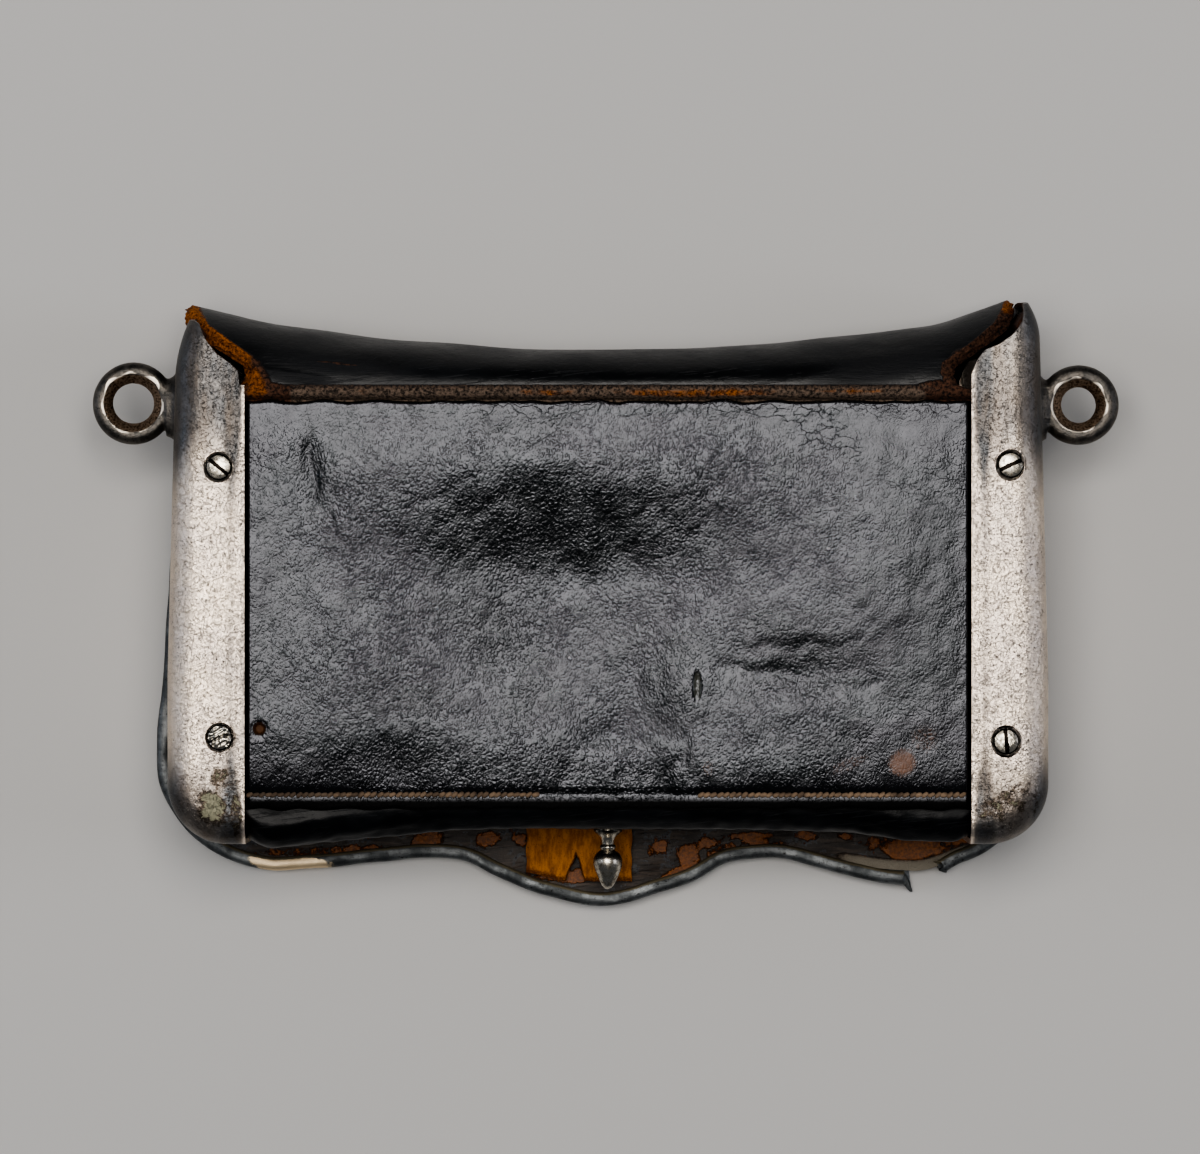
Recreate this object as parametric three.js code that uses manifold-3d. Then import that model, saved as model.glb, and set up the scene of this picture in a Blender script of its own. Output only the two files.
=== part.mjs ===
// A cavalry officer's cartridge pouch of black leather with silvered metal ends, lying face down on its
// closed flap. Millimetres. X runs along the pouch, Y from its bottom up to the flap's roll, and Z from
// the flap's front, on which it lies, up to the back panel. X = 0 is midway between the side plates.

import * as THREE from "three";
import { mergeVertices } from "three/addons/utils/BufferGeometryUtils.js";
import Module from "manifold-3d";

const wasm = await Module();
wasm.setup();

// ---- Walls and gaps ----

const GAP = 0.3; // between neighbouring pieces
const TRIM = 0.4; // between the flap's roll and what is cut to fit under it
const METAL = 1.0; // sheet of the side plates
const RIM_METAL = 0.8; // channel on the flap's edge
const BOX_LEATHER = 2.2;
const END_LEATHER = 2.6;
const END_STANDS = 0.4; // how far the end walls stand over the plates' top edges
const FLAP_LEATHER = 2.6;
const TAB_LEATHER = 1.8;

// ---- Depths (Z), from the ground up ----

const FLAP_FACE = RIM_METAL + GAP; // outer face of the flap's front
const FLAP_INSIDE = FLAP_FACE + FLAP_LEATHER;
const RIM_BACK = FLAP_INSIDE + GAP + RIM_METAL;
const PLATE_FRONT = 5.2;
const PLATE_BACK = 37.8;
const MIDDLE_DEPTH = (PLATE_FRONT + PLATE_BACK) / 2;
const SHELL_FRONT = PLATE_FRONT + METAL + GAP;
const PANEL_TOP = PLATE_BACK - METAL - GAP;
const LIP_TOP = PANEL_TOP - BOX_LEATHER - GAP;
const KNOB_DEPTH = 15;

// ---- Side plates ----

const PLATE_INNER = 65.4; // inner edge of the flanges, from the middle
const PLATE_END = 79.55; // end face at the bottom, from the middle
const TAPER_FROM = -13; // the ends are upright below this height
const PLATE_TAPER = 0.0254; // and lean in this much for each mm above it
const PLATE_BOTTOM = -43.2;
const CORNER_RADIUS = 11; // lower corner, seen from the back
const ROUNDING_WIDE = 6.5; // cushioned edge of the flanges, across
const ROUNDING_DEEP = 4.5; // and in depth
const CAP_HEIGHT = 58; // the caps are formed this high and then trimmed
const PLATE_ARCH = 1.0; // the end is this much higher midway between back and front
const RING_THICK = 3.8;
const NECK_BASE = 7.4; // half length of the neck's soldered foot

// Top edge of each plate's back flange: height at a distance from the flange's inner edge.
const PLATE_TOP = [
  { from_inner_edge: 0, left: 40.4, right: 41.4 },
  { from_inner_edge: 1, left: 41.9, right: 44.1 },
  { from_inner_edge: 2.4, left: 43.3, right: 45.9 },
  { from_inner_edge: 5, left: 45.2, right: 46.9 },
  { from_inner_edge: 7.5, left: 48.0, right: 48.7 },
  { from_inner_edge: 9.4, left: 50.4, right: 50.8 },
  { from_inner_edge: 10.8, left: 51.0, right: 54.0 },
  { from_inner_edge: 16, left: 51.0, right: 54.4 },
];

const SIDES = [
  { name: "left", sign: -1, ring_x: 86.8, ring_y: 36.8, ring_outer: 7.5, ring_hole: 3.8 },
  { name: "right", sign: 1, ring_x: 86.1, ring_y: 36.5, ring_outer: 7.35, ring_hole: 3.3 },
];

// ---- Screws ----

const SCREW_HEAD = 2.3; // radius
const SCREW_SHANK = 1.0;
const COUNTERSINK = 2.9;
const SLOT_WIDTH = 0.8;

const SCREWS = [
  { name: "screw_left_top", x: -70.0, y: 24.8, slot_angle: -40, slot_depth: 0.5 },
  { name: "screw_left_bottom", x: -69.8, y: -23.8, slot_angle: 20, slot_depth: 0.2 },
  { name: "screw_right_top", x: 72.4, y: 25.2, slot_angle: 25, slot_depth: 0.5 },
  { name: "screw_right_bottom", x: 71.6, y: -24.5, slot_angle: 95, slot_depth: 0.4 },
];

// ---- Leather box ----

const PANEL_HALF_LENGTH = 74.6;
const PANEL_LOW = -36.9;
const PANEL_HIGH = 36.8;
const PANEL_BELLY = 0.5; // how far the middle of the back panel stands out
const PANEL_HOLE = { x: -62.8, y: -22.3, radius: 1.0 };

// Soft dents of the back panel, with their half widths. A negative depth is a rise.
const DENTS = [
  { x: -8.5, y: 15, wide: 24, high: 10, depth: 1.2 },
  { x: 7.5, y: -25, wide: 9, high: 11, depth: 1.0 },
  { x: 35, y: -12, wide: 11, high: 4.5, depth: 0.5 },
  { x: -53.6, y: 26, wide: 3, high: 10, depth: 0.4 },
  { x: -12, y: -8, wide: 18, high: 12, depth: -0.5 },
  { x: 50, y: 8, wide: 13, high: 18, depth: -0.4 },
];

const SHELL_TOP = 36; // mouth edge of the front wall
const LIP_END = -30; // upper edge of the lip behind the back panel
const BOTTOM_RADIUS = 5;

// Underside of the sagging bottom along the pouch.
const BOTTOM = [
  { x: -72, y: -40.7 },
  { x: -68, y: -41.5 },
  { x: -65.8, y: -41.7 },
  { x: -64, y: -43.2 },
  { x: -61, y: -44.2 },
  { x: -55, y: -43.6 },
  { x: -38, y: -41.7 },
  { x: -29, y: -40.8 },
  { x: 0, y: -40.6 },
  { x: 27, y: -40.8 },
  { x: 44, y: -41.3 },
  { x: 54, y: -42.7 },
  { x: 63, y: -42.9 },
  { x: 65.8, y: -41.7 },
  { x: 68, y: -41.5 },
  { x: 72, y: -40.7 },
];

// ---- Flap ----

const FLAP_MIDDLE = -1.5; // the flap sits a little to the left
const HINGE_Y = 39.6; // where the roll leaves the back and where it meets the front
const ROOT_HALF_LENGTH = 66.3;
const ROOT_START = 30; // lower edge of the root behind the back panel
const ROLL_DEPTH = (PANEL_TOP - FLAP_FACE) / 2; // half depth of the roll's outer surface
const ROLL_MIDDLE = (PANEL_TOP + FLAP_FACE) / 2;
const CREST_MIDDLE = 46.75; // height of the roll's crest at X = 0
const CREST_BOW = 0.00125; // the crest rises towards both ends
const HORN_LEFT = 0.9; // and turns up at the corners
const HORN_RIGHT = 2.6;
const FRONT_TOP_HALF = 77; // half length of the front where it leaves the roll
const SAG = { from: 30, full: 54, fades: 57, end: 66 }; // stretch of the edge bent down at the rim's break
const LEATHER_SAG = 1.2;
const RIM_SAG = 2.8;

// Half length of the roll at an angle from the back (0) over the crest (90) to the front (180), and how
// far the worn, slanting cut edge reaches in from it.
const ROLL_WIDTH = [
  { angle: 0, half: 64.8, bevel: 1.2 },
  { angle: 10, half: 64.0, bevel: 2.2 },
  { angle: 20, half: 64.5, bevel: 2.4 },
  { angle: 30, half: 67.8, bevel: 2.4 },
  { angle: 40, half: 71.2, bevel: 2.4 },
  { angle: 50, half: 74.2, bevel: 2.2 },
  { angle: 65, half: 75.4, bevel: 1.8 },
  { angle: 90, half: 76.0, bevel: 1.2 },
  { angle: 180, half: FRONT_TOP_HALF, bevel: 0 },
];

// Lower edge of the flap's leather, from the middle lobe to the side.
const LOWER_EDGE = [
  { from_middle: 0, y: -55.2 },
  { from_middle: 11, y: -52.9 },
  { from_middle: 18.2, y: -50.0 },
  { from_middle: 24.5, y: -47.0 },
  { from_middle: 32, y: -46.2 },
  { from_middle: 41, y: -47.0 },
  { from_middle: 54, y: -48.3 },
  { from_middle: 61.5, y: -48.5 },
  { from_middle: 67.3, y: -47.2 },
  { from_middle: 73.2, y: -44.2 },
  { from_middle: 77.6, y: -39.8 },
  { from_middle: 80.7, y: -34.2 },
  { from_middle: 81.7, y: -26.4 },
  { from_middle: 80.7, y: -18.0 },
];

// ---- Rim, closing tab and knob ----

const RIM_TOP = 36; // where the rim ends on both sides
const RIM_FRONT_WIDTH = 6;
const RIM_BACK_WIDTH = 2.6;
const RIM_BREAK = { from: 55.5, to: 62.1 };
const TAB = { left: -15.1, right: 4.5, low_left: -49.9, low: -51.6, high: -20 };
const NOTCH = { left: -7.9, right: -4.3, tip_x: -5.8, tip_y: -46.6 };

// The knob's outline: radius at a distance below the pouch's bottom. The first rows are its riveted end
// inside the pouch and its shank through the leather.
const KNOB = [
  { below: -3.3, radius: 2.4 },
  { below: -2.5, radius: 2.4 },
  { below: -2.5, radius: 1.2 },
  { below: 0.3, radius: 1.2 },
  { below: 0.3, radius: 2.5 },
  { below: 1.2, radius: 2.6 },
  { below: 1.8, radius: 1.9 },
  { below: 2.8, radius: 1.2 },
  { below: 3.6, radius: 1.15 },
  { below: 4.1, radius: 1.5 },
  { below: 4.6, radius: 1.25 },
  { below: 5.3, radius: 2.2 },
  { below: 6.5, radius: 2.7 },
  { below: 8.2, radius: 2.45 },
  { below: 10.0, radius: 1.7 },
  { below: 11.2, radius: 1.1 },
  { below: 11.7, radius: 0.5 },
];

// ---- Materials ----

const finish = (color, roughness, metalness) => {
  return new THREE.MeshStandardMaterial({ color, roughness, metalness });
};
const BLACK_GRAINED = finish(0x24262a, 0.45, 0);
const BLACK_SMOOTH = finish(0x17181a, 0.3, 0);
const BROWN_LEATHER = finish(0x5a331b, 0.75, 0);
const TAN_LEATHER = finish(0x99652a, 0.7, 0);
const SILVERED = finish(0xb4aea6, 0.35, 1);
const RIM_SILVER = finish(0x7c7d7d, 0.4, 1);
const DARK_STEEL = finish(0x5c5b58, 0.35, 1);

// ---- Numbers and tables ----

const { degToRad, lerp, smoothstep } = THREE.MathUtils;

// A table's column at a value of its key column, in a straight line between rows.
function read(table, key, column, at) {
  const next = table.findIndex((row) => row[key] >= at);
  if (next === -1) return table.at(-1)[column];
  if (next === 0) return table[0][column];
  const [a, b] = [table[next - 1], table[next]];
  return lerp(a[column], b[column], (at - a[key]) / (b[key] - a[key]));
}

const steps = (count, from, to) => Array.from({ length: count + 1 }, (_, i) => lerp(from, to, i / count));
const point = (x, y, z) => new THREE.Vector3(x, y, z);

const BOTTOM_Y = read(BOTTOM, "x", "y", 0); // underside at the knob

// ---- Closed skins and solids ----

// A geometry from points and triangles, turned so that its faces point outwards.
function skin(points, triangles) {
  const volume = triangles.reduce((sum, [a, b, c]) => {
    return sum + points[a].dot(new THREE.Vector3().crossVectors(points[b], points[c]));
  }, 0);
  const turned = volume < 0 ? triangles.map(([a, b, c]) => [a, c, b]) : triangles;
  return new THREE.BufferGeometry().setFromPoints(points).setIndex(turned.flat());
}

const halves = (quads) => quads.flatMap(([a, b, c, d]) => [[a, b, c], [a, c, d]]);

// The wall between two grids of points that face each other, closed round its four edges.
function wall(over, under) {
  const last = over.length - 1;
  const end = over[0].length - 1;
  const o = (i, j) => i * (end + 1) + j;
  const u = (i, j) => (last + 1) * (end + 1) + o(i, j);
  const quads = [];
  for (let i = 0; i < last; i++) {
    for (let j = 0; j < end; j++) {
      quads.push([o(i, j), o(i, j + 1), o(i + 1, j + 1), o(i + 1, j)]);
      quads.push([u(i, j), u(i + 1, j), u(i + 1, j + 1), u(i, j + 1)]);
    }
    quads.push([o(i, 0), o(i + 1, 0), u(i + 1, 0), u(i, 0)]);
    quads.push([o(i, end), u(i, end), u(i + 1, end), o(i + 1, end)]);
  }
  for (let j = 0; j < end; j++) {
    quads.push([o(0, j), u(0, j), u(0, j + 1), o(0, j + 1)]);
    quads.push([o(last, j), o(last, j + 1), u(last, j + 1), u(last, j)]);
  }
  return skin([...over.flat(), ...under.flat()], halves(quads));
}

// Triangles that fill a nearly flat ring of points, in the ring's own direction.
function fill(ring) {
  const normal = new THREE.Vector3();
  ring.forEach((p, i) => normal.add(new THREE.Vector3().crossVectors(p, ring[(i + 1) % ring.length])));
  const [size] = ["x", "y", "z"].sort((a, b) => Math.abs(normal[b]) - Math.abs(normal[a]));
  const [h, v] = { x: ["y", "z"], y: ["z", "x"], z: ["x", "y"] }[size];
  const flat = ring.map((p) => new THREE.Vector2(p[h], p[v]));
  const area = ([a, b, c]) => THREE.ShapeUtils.area([flat[a], flat[b], flat[c]]);
  const way = Math.sign(THREE.ShapeUtils.area(flat));
  return THREE.ShapeUtils.triangulateShape(flat, []).map((t) => {
    return Math.sign(area(t)) === way ? [t[0], t[1], t[2]] : [t[0], t[2], t[1]];
  });
}

// A closed body through a row of rings that all have the same number of points.
function loft(rings) {
  const size = rings[0].length;
  const quads = [];
  for (let k = 0; k < rings.length - 1; k++) {
    for (let i = 0; i < size; i++) {
      const next = (i + 1) % size;
      quads.push([k * size + i, k * size + next, (k + 1) * size + next, (k + 1) * size + i]);
    }
  }
  const top = (rings.length - 1) * size;
  const start = fill(rings[0]).map(([a, b, c]) => [a, c, b]);
  const finishCap = fill(rings.at(-1)).map((t) => t.map((i) => i + top));
  return skin(rings.flat(), [...halves(quads), ...start, ...finishCap]);
}

function solid(geometry) {
  const bare = geometry.clone();
  bare.deleteAttribute("normal");
  bare.deleteAttribute("uv");
  const merged = mergeVertices(bare, 1e-4);
  const vertProperties = new Float32Array(merged.getAttribute("position").array);
  const triVerts = new Uint32Array(merged.index.array);
  return new wasm.Manifold(new wasm.Mesh({ numProp: 3, vertProperties, triVerts }));
}

function geometryOf(body) {
  const mesh = body.getMesh();
  const positions = new Float32Array(mesh.numVert * 3);
  for (let i = 0; i < mesh.numVert; i++) {
    positions.set(mesh.vertProperties.subarray(i * mesh.numProp, i * mesh.numProp + 3), i * 3);
  }
  return new THREE.BufferGeometry()
    .setAttribute("position", new THREE.BufferAttribute(positions, 3))
    .setIndex(new THREE.BufferAttribute(mesh.triVerts, 1));
}

function piece(name, geometry, material) {
  const flat = geometry.index ? geometry.toNonIndexed() : geometry;
  flat.computeVertexNormals();
  const mesh = new THREE.Mesh(flat, material);
  mesh.name = name;
  return mesh;
}

// A turned body: radius and height pairs round the Y axis.
const turned = (outline, sides) => {
  return new THREE.LatheGeometry(outline.map(([r, h]) => new THREE.Vector2(r, h)), sides);
};

// The same body stood along Z, with its height upwards.
const turnedUp = (outline, sides) => turned(outline, sides).rotateX(Math.PI / 2);

// ---- Flap: root, roll and front ----

const rootRows = [
  { y: ROOT_START, z: LIP_TOP },
  { y: PANEL_HIGH + 0.3, z: LIP_TOP },
  { y: PANEL_HIGH + 1.2, z: PANEL_TOP - 0.3 },
];
const rollAngles = [...steps(8, 0, 90), ...steps(5, 90, 180).slice(1)];
const frontSteps = steps(5, 0, 1).slice(1);
const FLAP_COLUMNS = 32;

function crest(x) {
  const horn = x < 0 ? HORN_LEFT : HORN_RIGHT;
  return CREST_MIDDLE + CREST_BOW * x * x + horn * smoothstep(Math.abs(x), 58, 76);
}

const sagAt = (x) => smoothstep(x, SAG.from, SAG.full) * (1 - smoothstep(x, SAG.fades, SAG.end));

const edgeRows = [
  ...LOWER_EDGE.toReversed().map((row) => point(FLAP_MIDDLE - row.from_middle, row.y, 0)),
  ...LOWER_EDGE.slice(1).map((row) => point(FLAP_MIDDLE + row.from_middle, row.y, 0)),
];
const edgeCurve = new THREE.CatmullRomCurve3(edgeRows);

// The flap's lower edge, from its left end (-1) to its right end (1).
function lowerEdge(across, sag) {
  const p = edgeCurve.getPoint((across + 1) / 2);
  p.y -= sag * sagAt(p.x);
  return p;
}

// Places across the flap, closer together towards its rounded corners.
const places = (count) => steps(count, -1, 1).map((t) => (Math.sin((t * Math.PI) / 2) + t) / 2);

// Rows of points of the flap at a depth below its outer surface. `grow` widens it at both sides.
function flapSheet(depth, grow, columns, bevelled) {
  const acrossAll = places(columns);
  const root = rootRows.map(({ y, z }) => {
    return acrossAll.map((across) => point(across * (ROOT_HALF_LENGTH + grow), y, z - depth));
  });
  const roll = rollAngles.map((angle) => {
    const bevel = bevelled ? read(ROLL_WIDTH, "angle", "bevel", angle) : 0;
    const half = read(ROLL_WIDTH, "angle", "half", angle) - bevel + grow;
    const turn = degToRad(angle);
    return acrossAll.map((across) => {
      const x = FLAP_MIDDLE + across * half;
      const y = HINGE_Y + (crest(x) - HINGE_Y - depth) * Math.sin(turn);
      return point(x, y, ROLL_MIDDLE + (ROLL_DEPTH - depth) * Math.cos(turn));
    });
  });
  const front = frontSteps.map((down) => {
    return acrossAll.map((across) => {
      const top = point(FLAP_MIDDLE + across * (FRONT_TOP_HALF + grow), HINGE_Y, 0);
      return top.lerp(lowerEdge(across, LEATHER_SAG), down).setZ(FLAP_FACE + depth);
    });
  });
  return { root, roll, front };
}

function flap() {
  const outer = flapSheet(0, 0, FLAP_COLUMNS, true);
  const inner = flapSheet(FLAP_LEATHER, 0, FLAP_COLUMNS, false);
  const rows = (sheet) => [...sheet.root, ...sheet.roll, ...sheet.front];
  return wall(rows(outer), rows(inner));
}

// Everything that the roll covers from just inside its leather outwards: what lies under the flap is
// trimmed with it.
function rollKeepOut() {
  const far = flapSheet(-20, TRIM, 24, false).roll;
  const near = flapSheet(FLAP_LEATHER + TRIM, TRIM, 24, false).roll;
  return solid(wall(far, near));
}

// ---- Side plates and end walls ----

const lean = (y) => PLATE_TAPER * Math.max(0, y - TAPER_FROM);

// Outline of a right-hand cap seen from the back, `inset` inside its outer edge.
function capOutline(inset, inner, top, z) {
  const arc = steps(7, -90, 0).map((angle) => {
    const turn = degToRad(angle);
    const radius = CORNER_RADIUS - inset;
    const x = PLATE_END - CORNER_RADIUS + radius * Math.cos(turn);
    return [x, PLATE_BOTTOM + CORNER_RADIUS + radius * Math.sin(turn)];
  });
  const side = [[PLATE_END - inset, TAPER_FROM], [PLATE_END - inset, top]];
  const corners = [[inner, PLATE_BOTTOM + inset], ...arc, ...side, [inner, top]];
  return corners.map(([x, y], i) => point(i === 0 || i === corners.length - 1 ? x : x - lean(y), y, z));
}

// A right-hand cap with rounded outer edges, `inset` inside the plate's outer surface.
function cap(inset, inner, top) {
  const wide = ROUNDING_WIDE - inset;
  const deep = ROUNDING_DEEP - inset;
  const rounding = steps(5, 0, 90).map((angle) => {
    const turn = degToRad(angle);
    return { in: inset + wide * (1 - Math.sin(turn)), down: inset + deep * (1 - Math.cos(turn)) };
  });
  const front = rounding.map((r) => capOutline(r.in, inner, top, PLATE_FRONT + r.down));
  const back = rounding.toReversed().map((r) => capOutline(r.in, inner, top, PLATE_BACK - r.down));
  return solid(loft([...front, ...back]));
}

// What lies above a plate's top edge, raised by `lift`.
function aboveTop(side, lift) {
  const half = MIDDLE_DEPTH - PLATE_FRONT;
  const across = [-4, ...steps(16, 0, 12), 22];
  const rows = steps(8, PLATE_FRONT - 4, PLATE_BACK + 4).map((z) => {
    const arch = PLATE_ARCH * Math.max(0, 1 - ((z - MIDDLE_DEPTH) / half) ** 2);
    return across.map((s) => {
      const y = read(PLATE_TOP, "from_inner_edge", side.name, s) + arch + lift;
      return point(side.sign * (PLATE_INNER + s), y, z);
    });
  });
  return solid(wall(rows, rows.map((row) => row.map((p) => point(p.x, 2 * CAP_HEIGHT, p.z)))));
}

const onSide = (side, body) => (side.sign < 0 ? body.mirror([1, 0, 0]) : body);

// The carrying ring with its short flared neck, standing on an oval foot.
function ringAndNeck(side) {
  const half = RING_THICK / 2;
  const { ring_outer: outer, ring_hole: hole } = side;
  const below = [
    [hole, 0],
    [hole + 0.3, -half * 0.62],
    [hole + 1.0, -half],
    [outer - 1.1, -half],
    [outer - 0.3, -half * 0.62],
    [outer, 0],
  ];
  const above = below.slice(0, -1).toReversed().map(([r, h]) => [r, -h]);
  const ring = turnedUp([...below, ...above], 26);
  ring.translate(side.ring_x, side.ring_y, MIDDLE_DEPTH);
  const foot = PLATE_END - lean(side.ring_y) - METAL / 2;
  const reach = side.ring_x - outer + 0.9 - foot;
  const base = [[0, 0], [NECK_BASE, 0], [NECK_BASE, 0.8], [NECK_BASE - 0.7, 1.1]];
  const neck = turned([...base, [5.3, 1.4], [4.6, 1.9], [4.4, reach], [0, reach]], 22);
  neck.scale(1, 1, 0.43).rotateZ(-Math.PI / 2).translate(foot, side.ring_y - 0.8, MIDDLE_DEPTH);
  return solid(ring).add(solid(neck));
}

function countersink(screw) {
  const hole = [[0, -3], [1.6, -3], [1.6, -METAL], [COUNTERSINK, 0.05], [COUNTERSINK, 2], [0, 2]];
  return solid(turnedUp(hole, 20).translate(screw.x, screw.y, PLATE_BACK));
}

function sidePlate(side) {
  const open = 2;
  const hollow = cap(METAL, PLATE_INNER - open, CAP_HEIGHT + open);
  let plate = cap(0, PLATE_INNER, CAP_HEIGHT).subtract(hollow);
  plate = onSide(side, plate).subtract(aboveTop(side, 0)).subtract(rollKeepOut());
  plate = plate.add(onSide(side, ringAndNeck(side)));
  SCREWS.filter((screw) => screw.x * side.sign > 0).forEach((screw) => {
    plate = plate.subtract(countersink(screw));
  });
  return geometryOf(plate);
}

function endWall(side) {
  const outer = PLATE_END - METAL - GAP;
  const rings = [PLATE_BOTTOM, TAPER_FROM, CAP_HEIGHT].map((y) => {
    const [a, b] = [outer - END_LEATHER - lean(y), outer - lean(y)];
    const [front, back] = [SHELL_FRONT + BOX_LEATHER, LIP_TOP];
    return [point(a, y, front), point(b, y, front), point(b, y, back), point(a, y, back)];
  });
  const slab = solid(loft(rings)).intersect(cap(METAL + GAP, PLATE_INNER, CAP_HEIGHT));
  return geometryOf(onSide(side, slab).subtract(aboveTop(side, END_STANDS)).subtract(rollKeepOut()));
}

// ---- Box of leather ----

function panelHeight(x, y) {
  const belly = PANEL_BELLY * Math.max(0, 1 - (x / PLATE_INNER) ** 2) * Math.max(0, 1 - (y / 36) ** 2);
  const dents = DENTS.reduce((sum, dent) => {
    const far = ((x - dent.x) / dent.wide) ** 2 + ((y - dent.y) / dent.high) ** 2;
    return sum + dent.depth * Math.exp(-far * 1.4);
  }, 0);
  const clear = 1 - smoothstep(Math.abs(x), PLATE_INNER - 6, PLATE_INNER - 0.5);
  const clearRoot = 1 - smoothstep(y, 24, ROOT_START + 1);
  const clearLip = smoothstep(y, LIP_END - 1, -22);
  return PANEL_TOP + (belly - dents) * clear * clearRoot * clearLip;
}

// How far the leather is pared away to follow the rounding of the plates over it.
function pared(x, y) {
  const [wide, deep] = [ROUNDING_WIDE - METAL - GAP, ROUNDING_DEEP - METAL - GAP];
  const past = Math.max(0, Math.abs(x) + lean(y) - PLATE_END + CORNER_RADIUS);
  const under = Math.max(0, PLATE_BOTTOM + CORNER_RADIUS - y);
  const fromEdge = CORNER_RADIUS - METAL - GAP - Math.hypot(past, under);
  const over = Math.max(0, (wide - fromEdge) / wide);
  return deep * (1 - Math.sqrt(1 - over * over));
}

const cylinderUp = (radius, x, y, low, high) => {
  return solid(turnedUp([[0, low], [radius, low], [radius, high], [0, high]], 14).translate(x, y, 0));
};

function backPanel() {
  const ends = [67.5, 71, 73, PANEL_HALF_LENGTH];
  const along = [...ends.toReversed().map((x) => -x), ...steps(18, -61, 61), ...ends];
  const sheet = (depthAt) => {
    return steps(10, PANEL_LOW, PANEL_HIGH).map((y) => {
      return along.map((x) => point(x, y, panelHeight(x, y) - depthAt(x, y)));
    });
  };
  let panel = solid(wall(sheet(pared), sheet(() => BOX_LEATHER)));
  SCREWS.forEach((screw) => {
    panel = panel.subtract(cylinderUp(SCREW_SHANK + 0.4, screw.x, screw.y, 30, PLATE_BACK));
  });
  const { x, y, radius } = PANEL_HOLE;
  return geometryOf(panel.subtract(cylinderUp(radius, x, y, 30, PLATE_BACK)));
}

// Section of the box shell: down the front wall, round under the bottom, and up into the lip.
function shellSection(x) {
  const low = read(BOTTOM, "x", "y", x);
  const side = (inset) => {
    const radius = BOTTOM_RADIUS - inset;
    const corner = (depth, from, to) => {
      return steps(4, from, to).map((angle) => {
        const turn = degToRad(angle);
        return point(x, low + BOTTOM_RADIUS - radius * Math.cos(turn), depth + radius * Math.sin(turn));
      });
    };
    return [
      point(x, SHELL_TOP, SHELL_FRONT + inset),
      ...corner(SHELL_FRONT + BOTTOM_RADIUS, -90, 0),
      ...corner(LIP_TOP - BOTTOM_RADIUS, 0, 90),
      point(x, LIP_END, LIP_TOP - inset),
    ];
  };
  return [...side(0), ...side(BOX_LEATHER).toReversed()];
}

function boxShell() {
  const stations = BOTTOM.map((row) => row.x);
  const shell = solid(loft(stations.map(shellSection)));
  const reach = 12;
  const hole = turned([[0, -reach], [1.5, -reach], [1.5, reach], [0, reach]], 14);
  return geometryOf(shell.subtract(solid(hole.translate(0, BOTTOM_Y, KNOB_DEPTH))));
}

// ---- Rim of the flap ----

// The channel's section: distance outside the leather's edge, and depth.
const rimSection = [
  [RIM_METAL + GAP - RIM_BACK_WIDTH, RIM_BACK],
  [0.5, RIM_BACK],
  [RIM_METAL + GAP, RIM_BACK - 0.6],
  [RIM_METAL + GAP, 0.6],
  [0.5, 0],
  [RIM_METAL + GAP - RIM_FRONT_WIDTH, 0],
  [RIM_METAL + GAP - RIM_FRONT_WIDTH, RIM_METAL],
  [GAP, RIM_METAL],
  [GAP, RIM_BACK - RIM_METAL],
  [RIM_METAL + GAP - RIM_BACK_WIDTH, RIM_BACK - RIM_METAL],
];

// The leather's edge from the rim's upper end on one side round to the other.
function rimPath() {
  const sideLine = (across) => {
    const top = point(FLAP_MIDDLE + across * FRONT_TOP_HALF, HINGE_Y, 0);
    const low = lowerEdge(across, 0);
    const start = (top.y - RIM_TOP) / (top.y - low.y);
    return steps(5, start, 1).map((down) => top.clone().lerp(low, down));
  };
  const lower = places(2 * FLAP_COLUMNS).map((across) => lowerEdge(across, RIM_SAG));
  return [...sideLine(-1).slice(0, -1), ...lower, ...sideLine(1).slice(0, -1).toReversed()];
}

function rimRings() {
  const path = rimPath();
  return path.map((p, i) => {
    const along = path[Math.min(i + 1, path.length - 1)].clone().sub(path[Math.max(i - 1, 0)]).normalize();
    const outward = point(along.y, -along.x, 0);
    return rimSection.map(([out, z]) => p.clone().addScaledVector(outward, out).setZ(z));
  });
}

// The long piece ends in a torn tongue that is bent down.
function flapRim() {
  const rings = rimRings().filter((ring) => ring[0].x < RIM_BREAK.from);
  const root = rings.at(-1)[3];
  const tongue = rings.at(-1).map((p) => p.clone().lerp(root, 0.75).add(point(1.6, -1.4, 0)));
  return loft([...rings, tongue]);
}

const flapRimRight = () => loft(rimRings().filter((ring) => ring[0].x > RIM_BREAK.to));

// ---- Closing tab, knob and screws ----

function closingTab() {
  const outline = new THREE.Shape();
  outline.moveTo(TAB.left, TAB.high);
  outline.lineTo(TAB.left, TAB.low_left);
  outline.lineTo(NOTCH.left, TAB.low);
  outline.lineTo(NOTCH.tip_x, NOTCH.tip_y);
  outline.lineTo(NOTCH.right, TAB.low);
  outline.lineTo(TAB.right, TAB.low);
  outline.lineTo(TAB.right, TAB.high);
  return new THREE.ExtrudeGeometry(outline, { depth: TAB_LEATHER, bevelEnabled: false });
}

function closureKnob() {
  const outline = KNOB.toReversed().map((row) => [row.radius, -row.below]);
  return turned([[0, -KNOB.at(-1).below - 0.2], ...outline, [0, -KNOB[0].below]], 14);
}

function screwBody(screw) {
  const shank = [[0, -4.4], [SCREW_SHANK, -4.4], [SCREW_SHANK, -1.3]];
  const head = [[SCREW_HEAD, -0.15], [SCREW_HEAD, 0.1], [SCREW_HEAD * 0.6, 0.4], [0, 0.5]];
  const body = solid(turnedUp([...shank, ...head], 18));
  const slot = new THREE.BoxGeometry(SCREW_HEAD * 3, SLOT_WIDTH, screw.slot_depth * 2).translate(0, 0, 0.5);
  return geometryOf(body.subtract(solid(slot)));
}

// ---- Assembly ----

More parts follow.
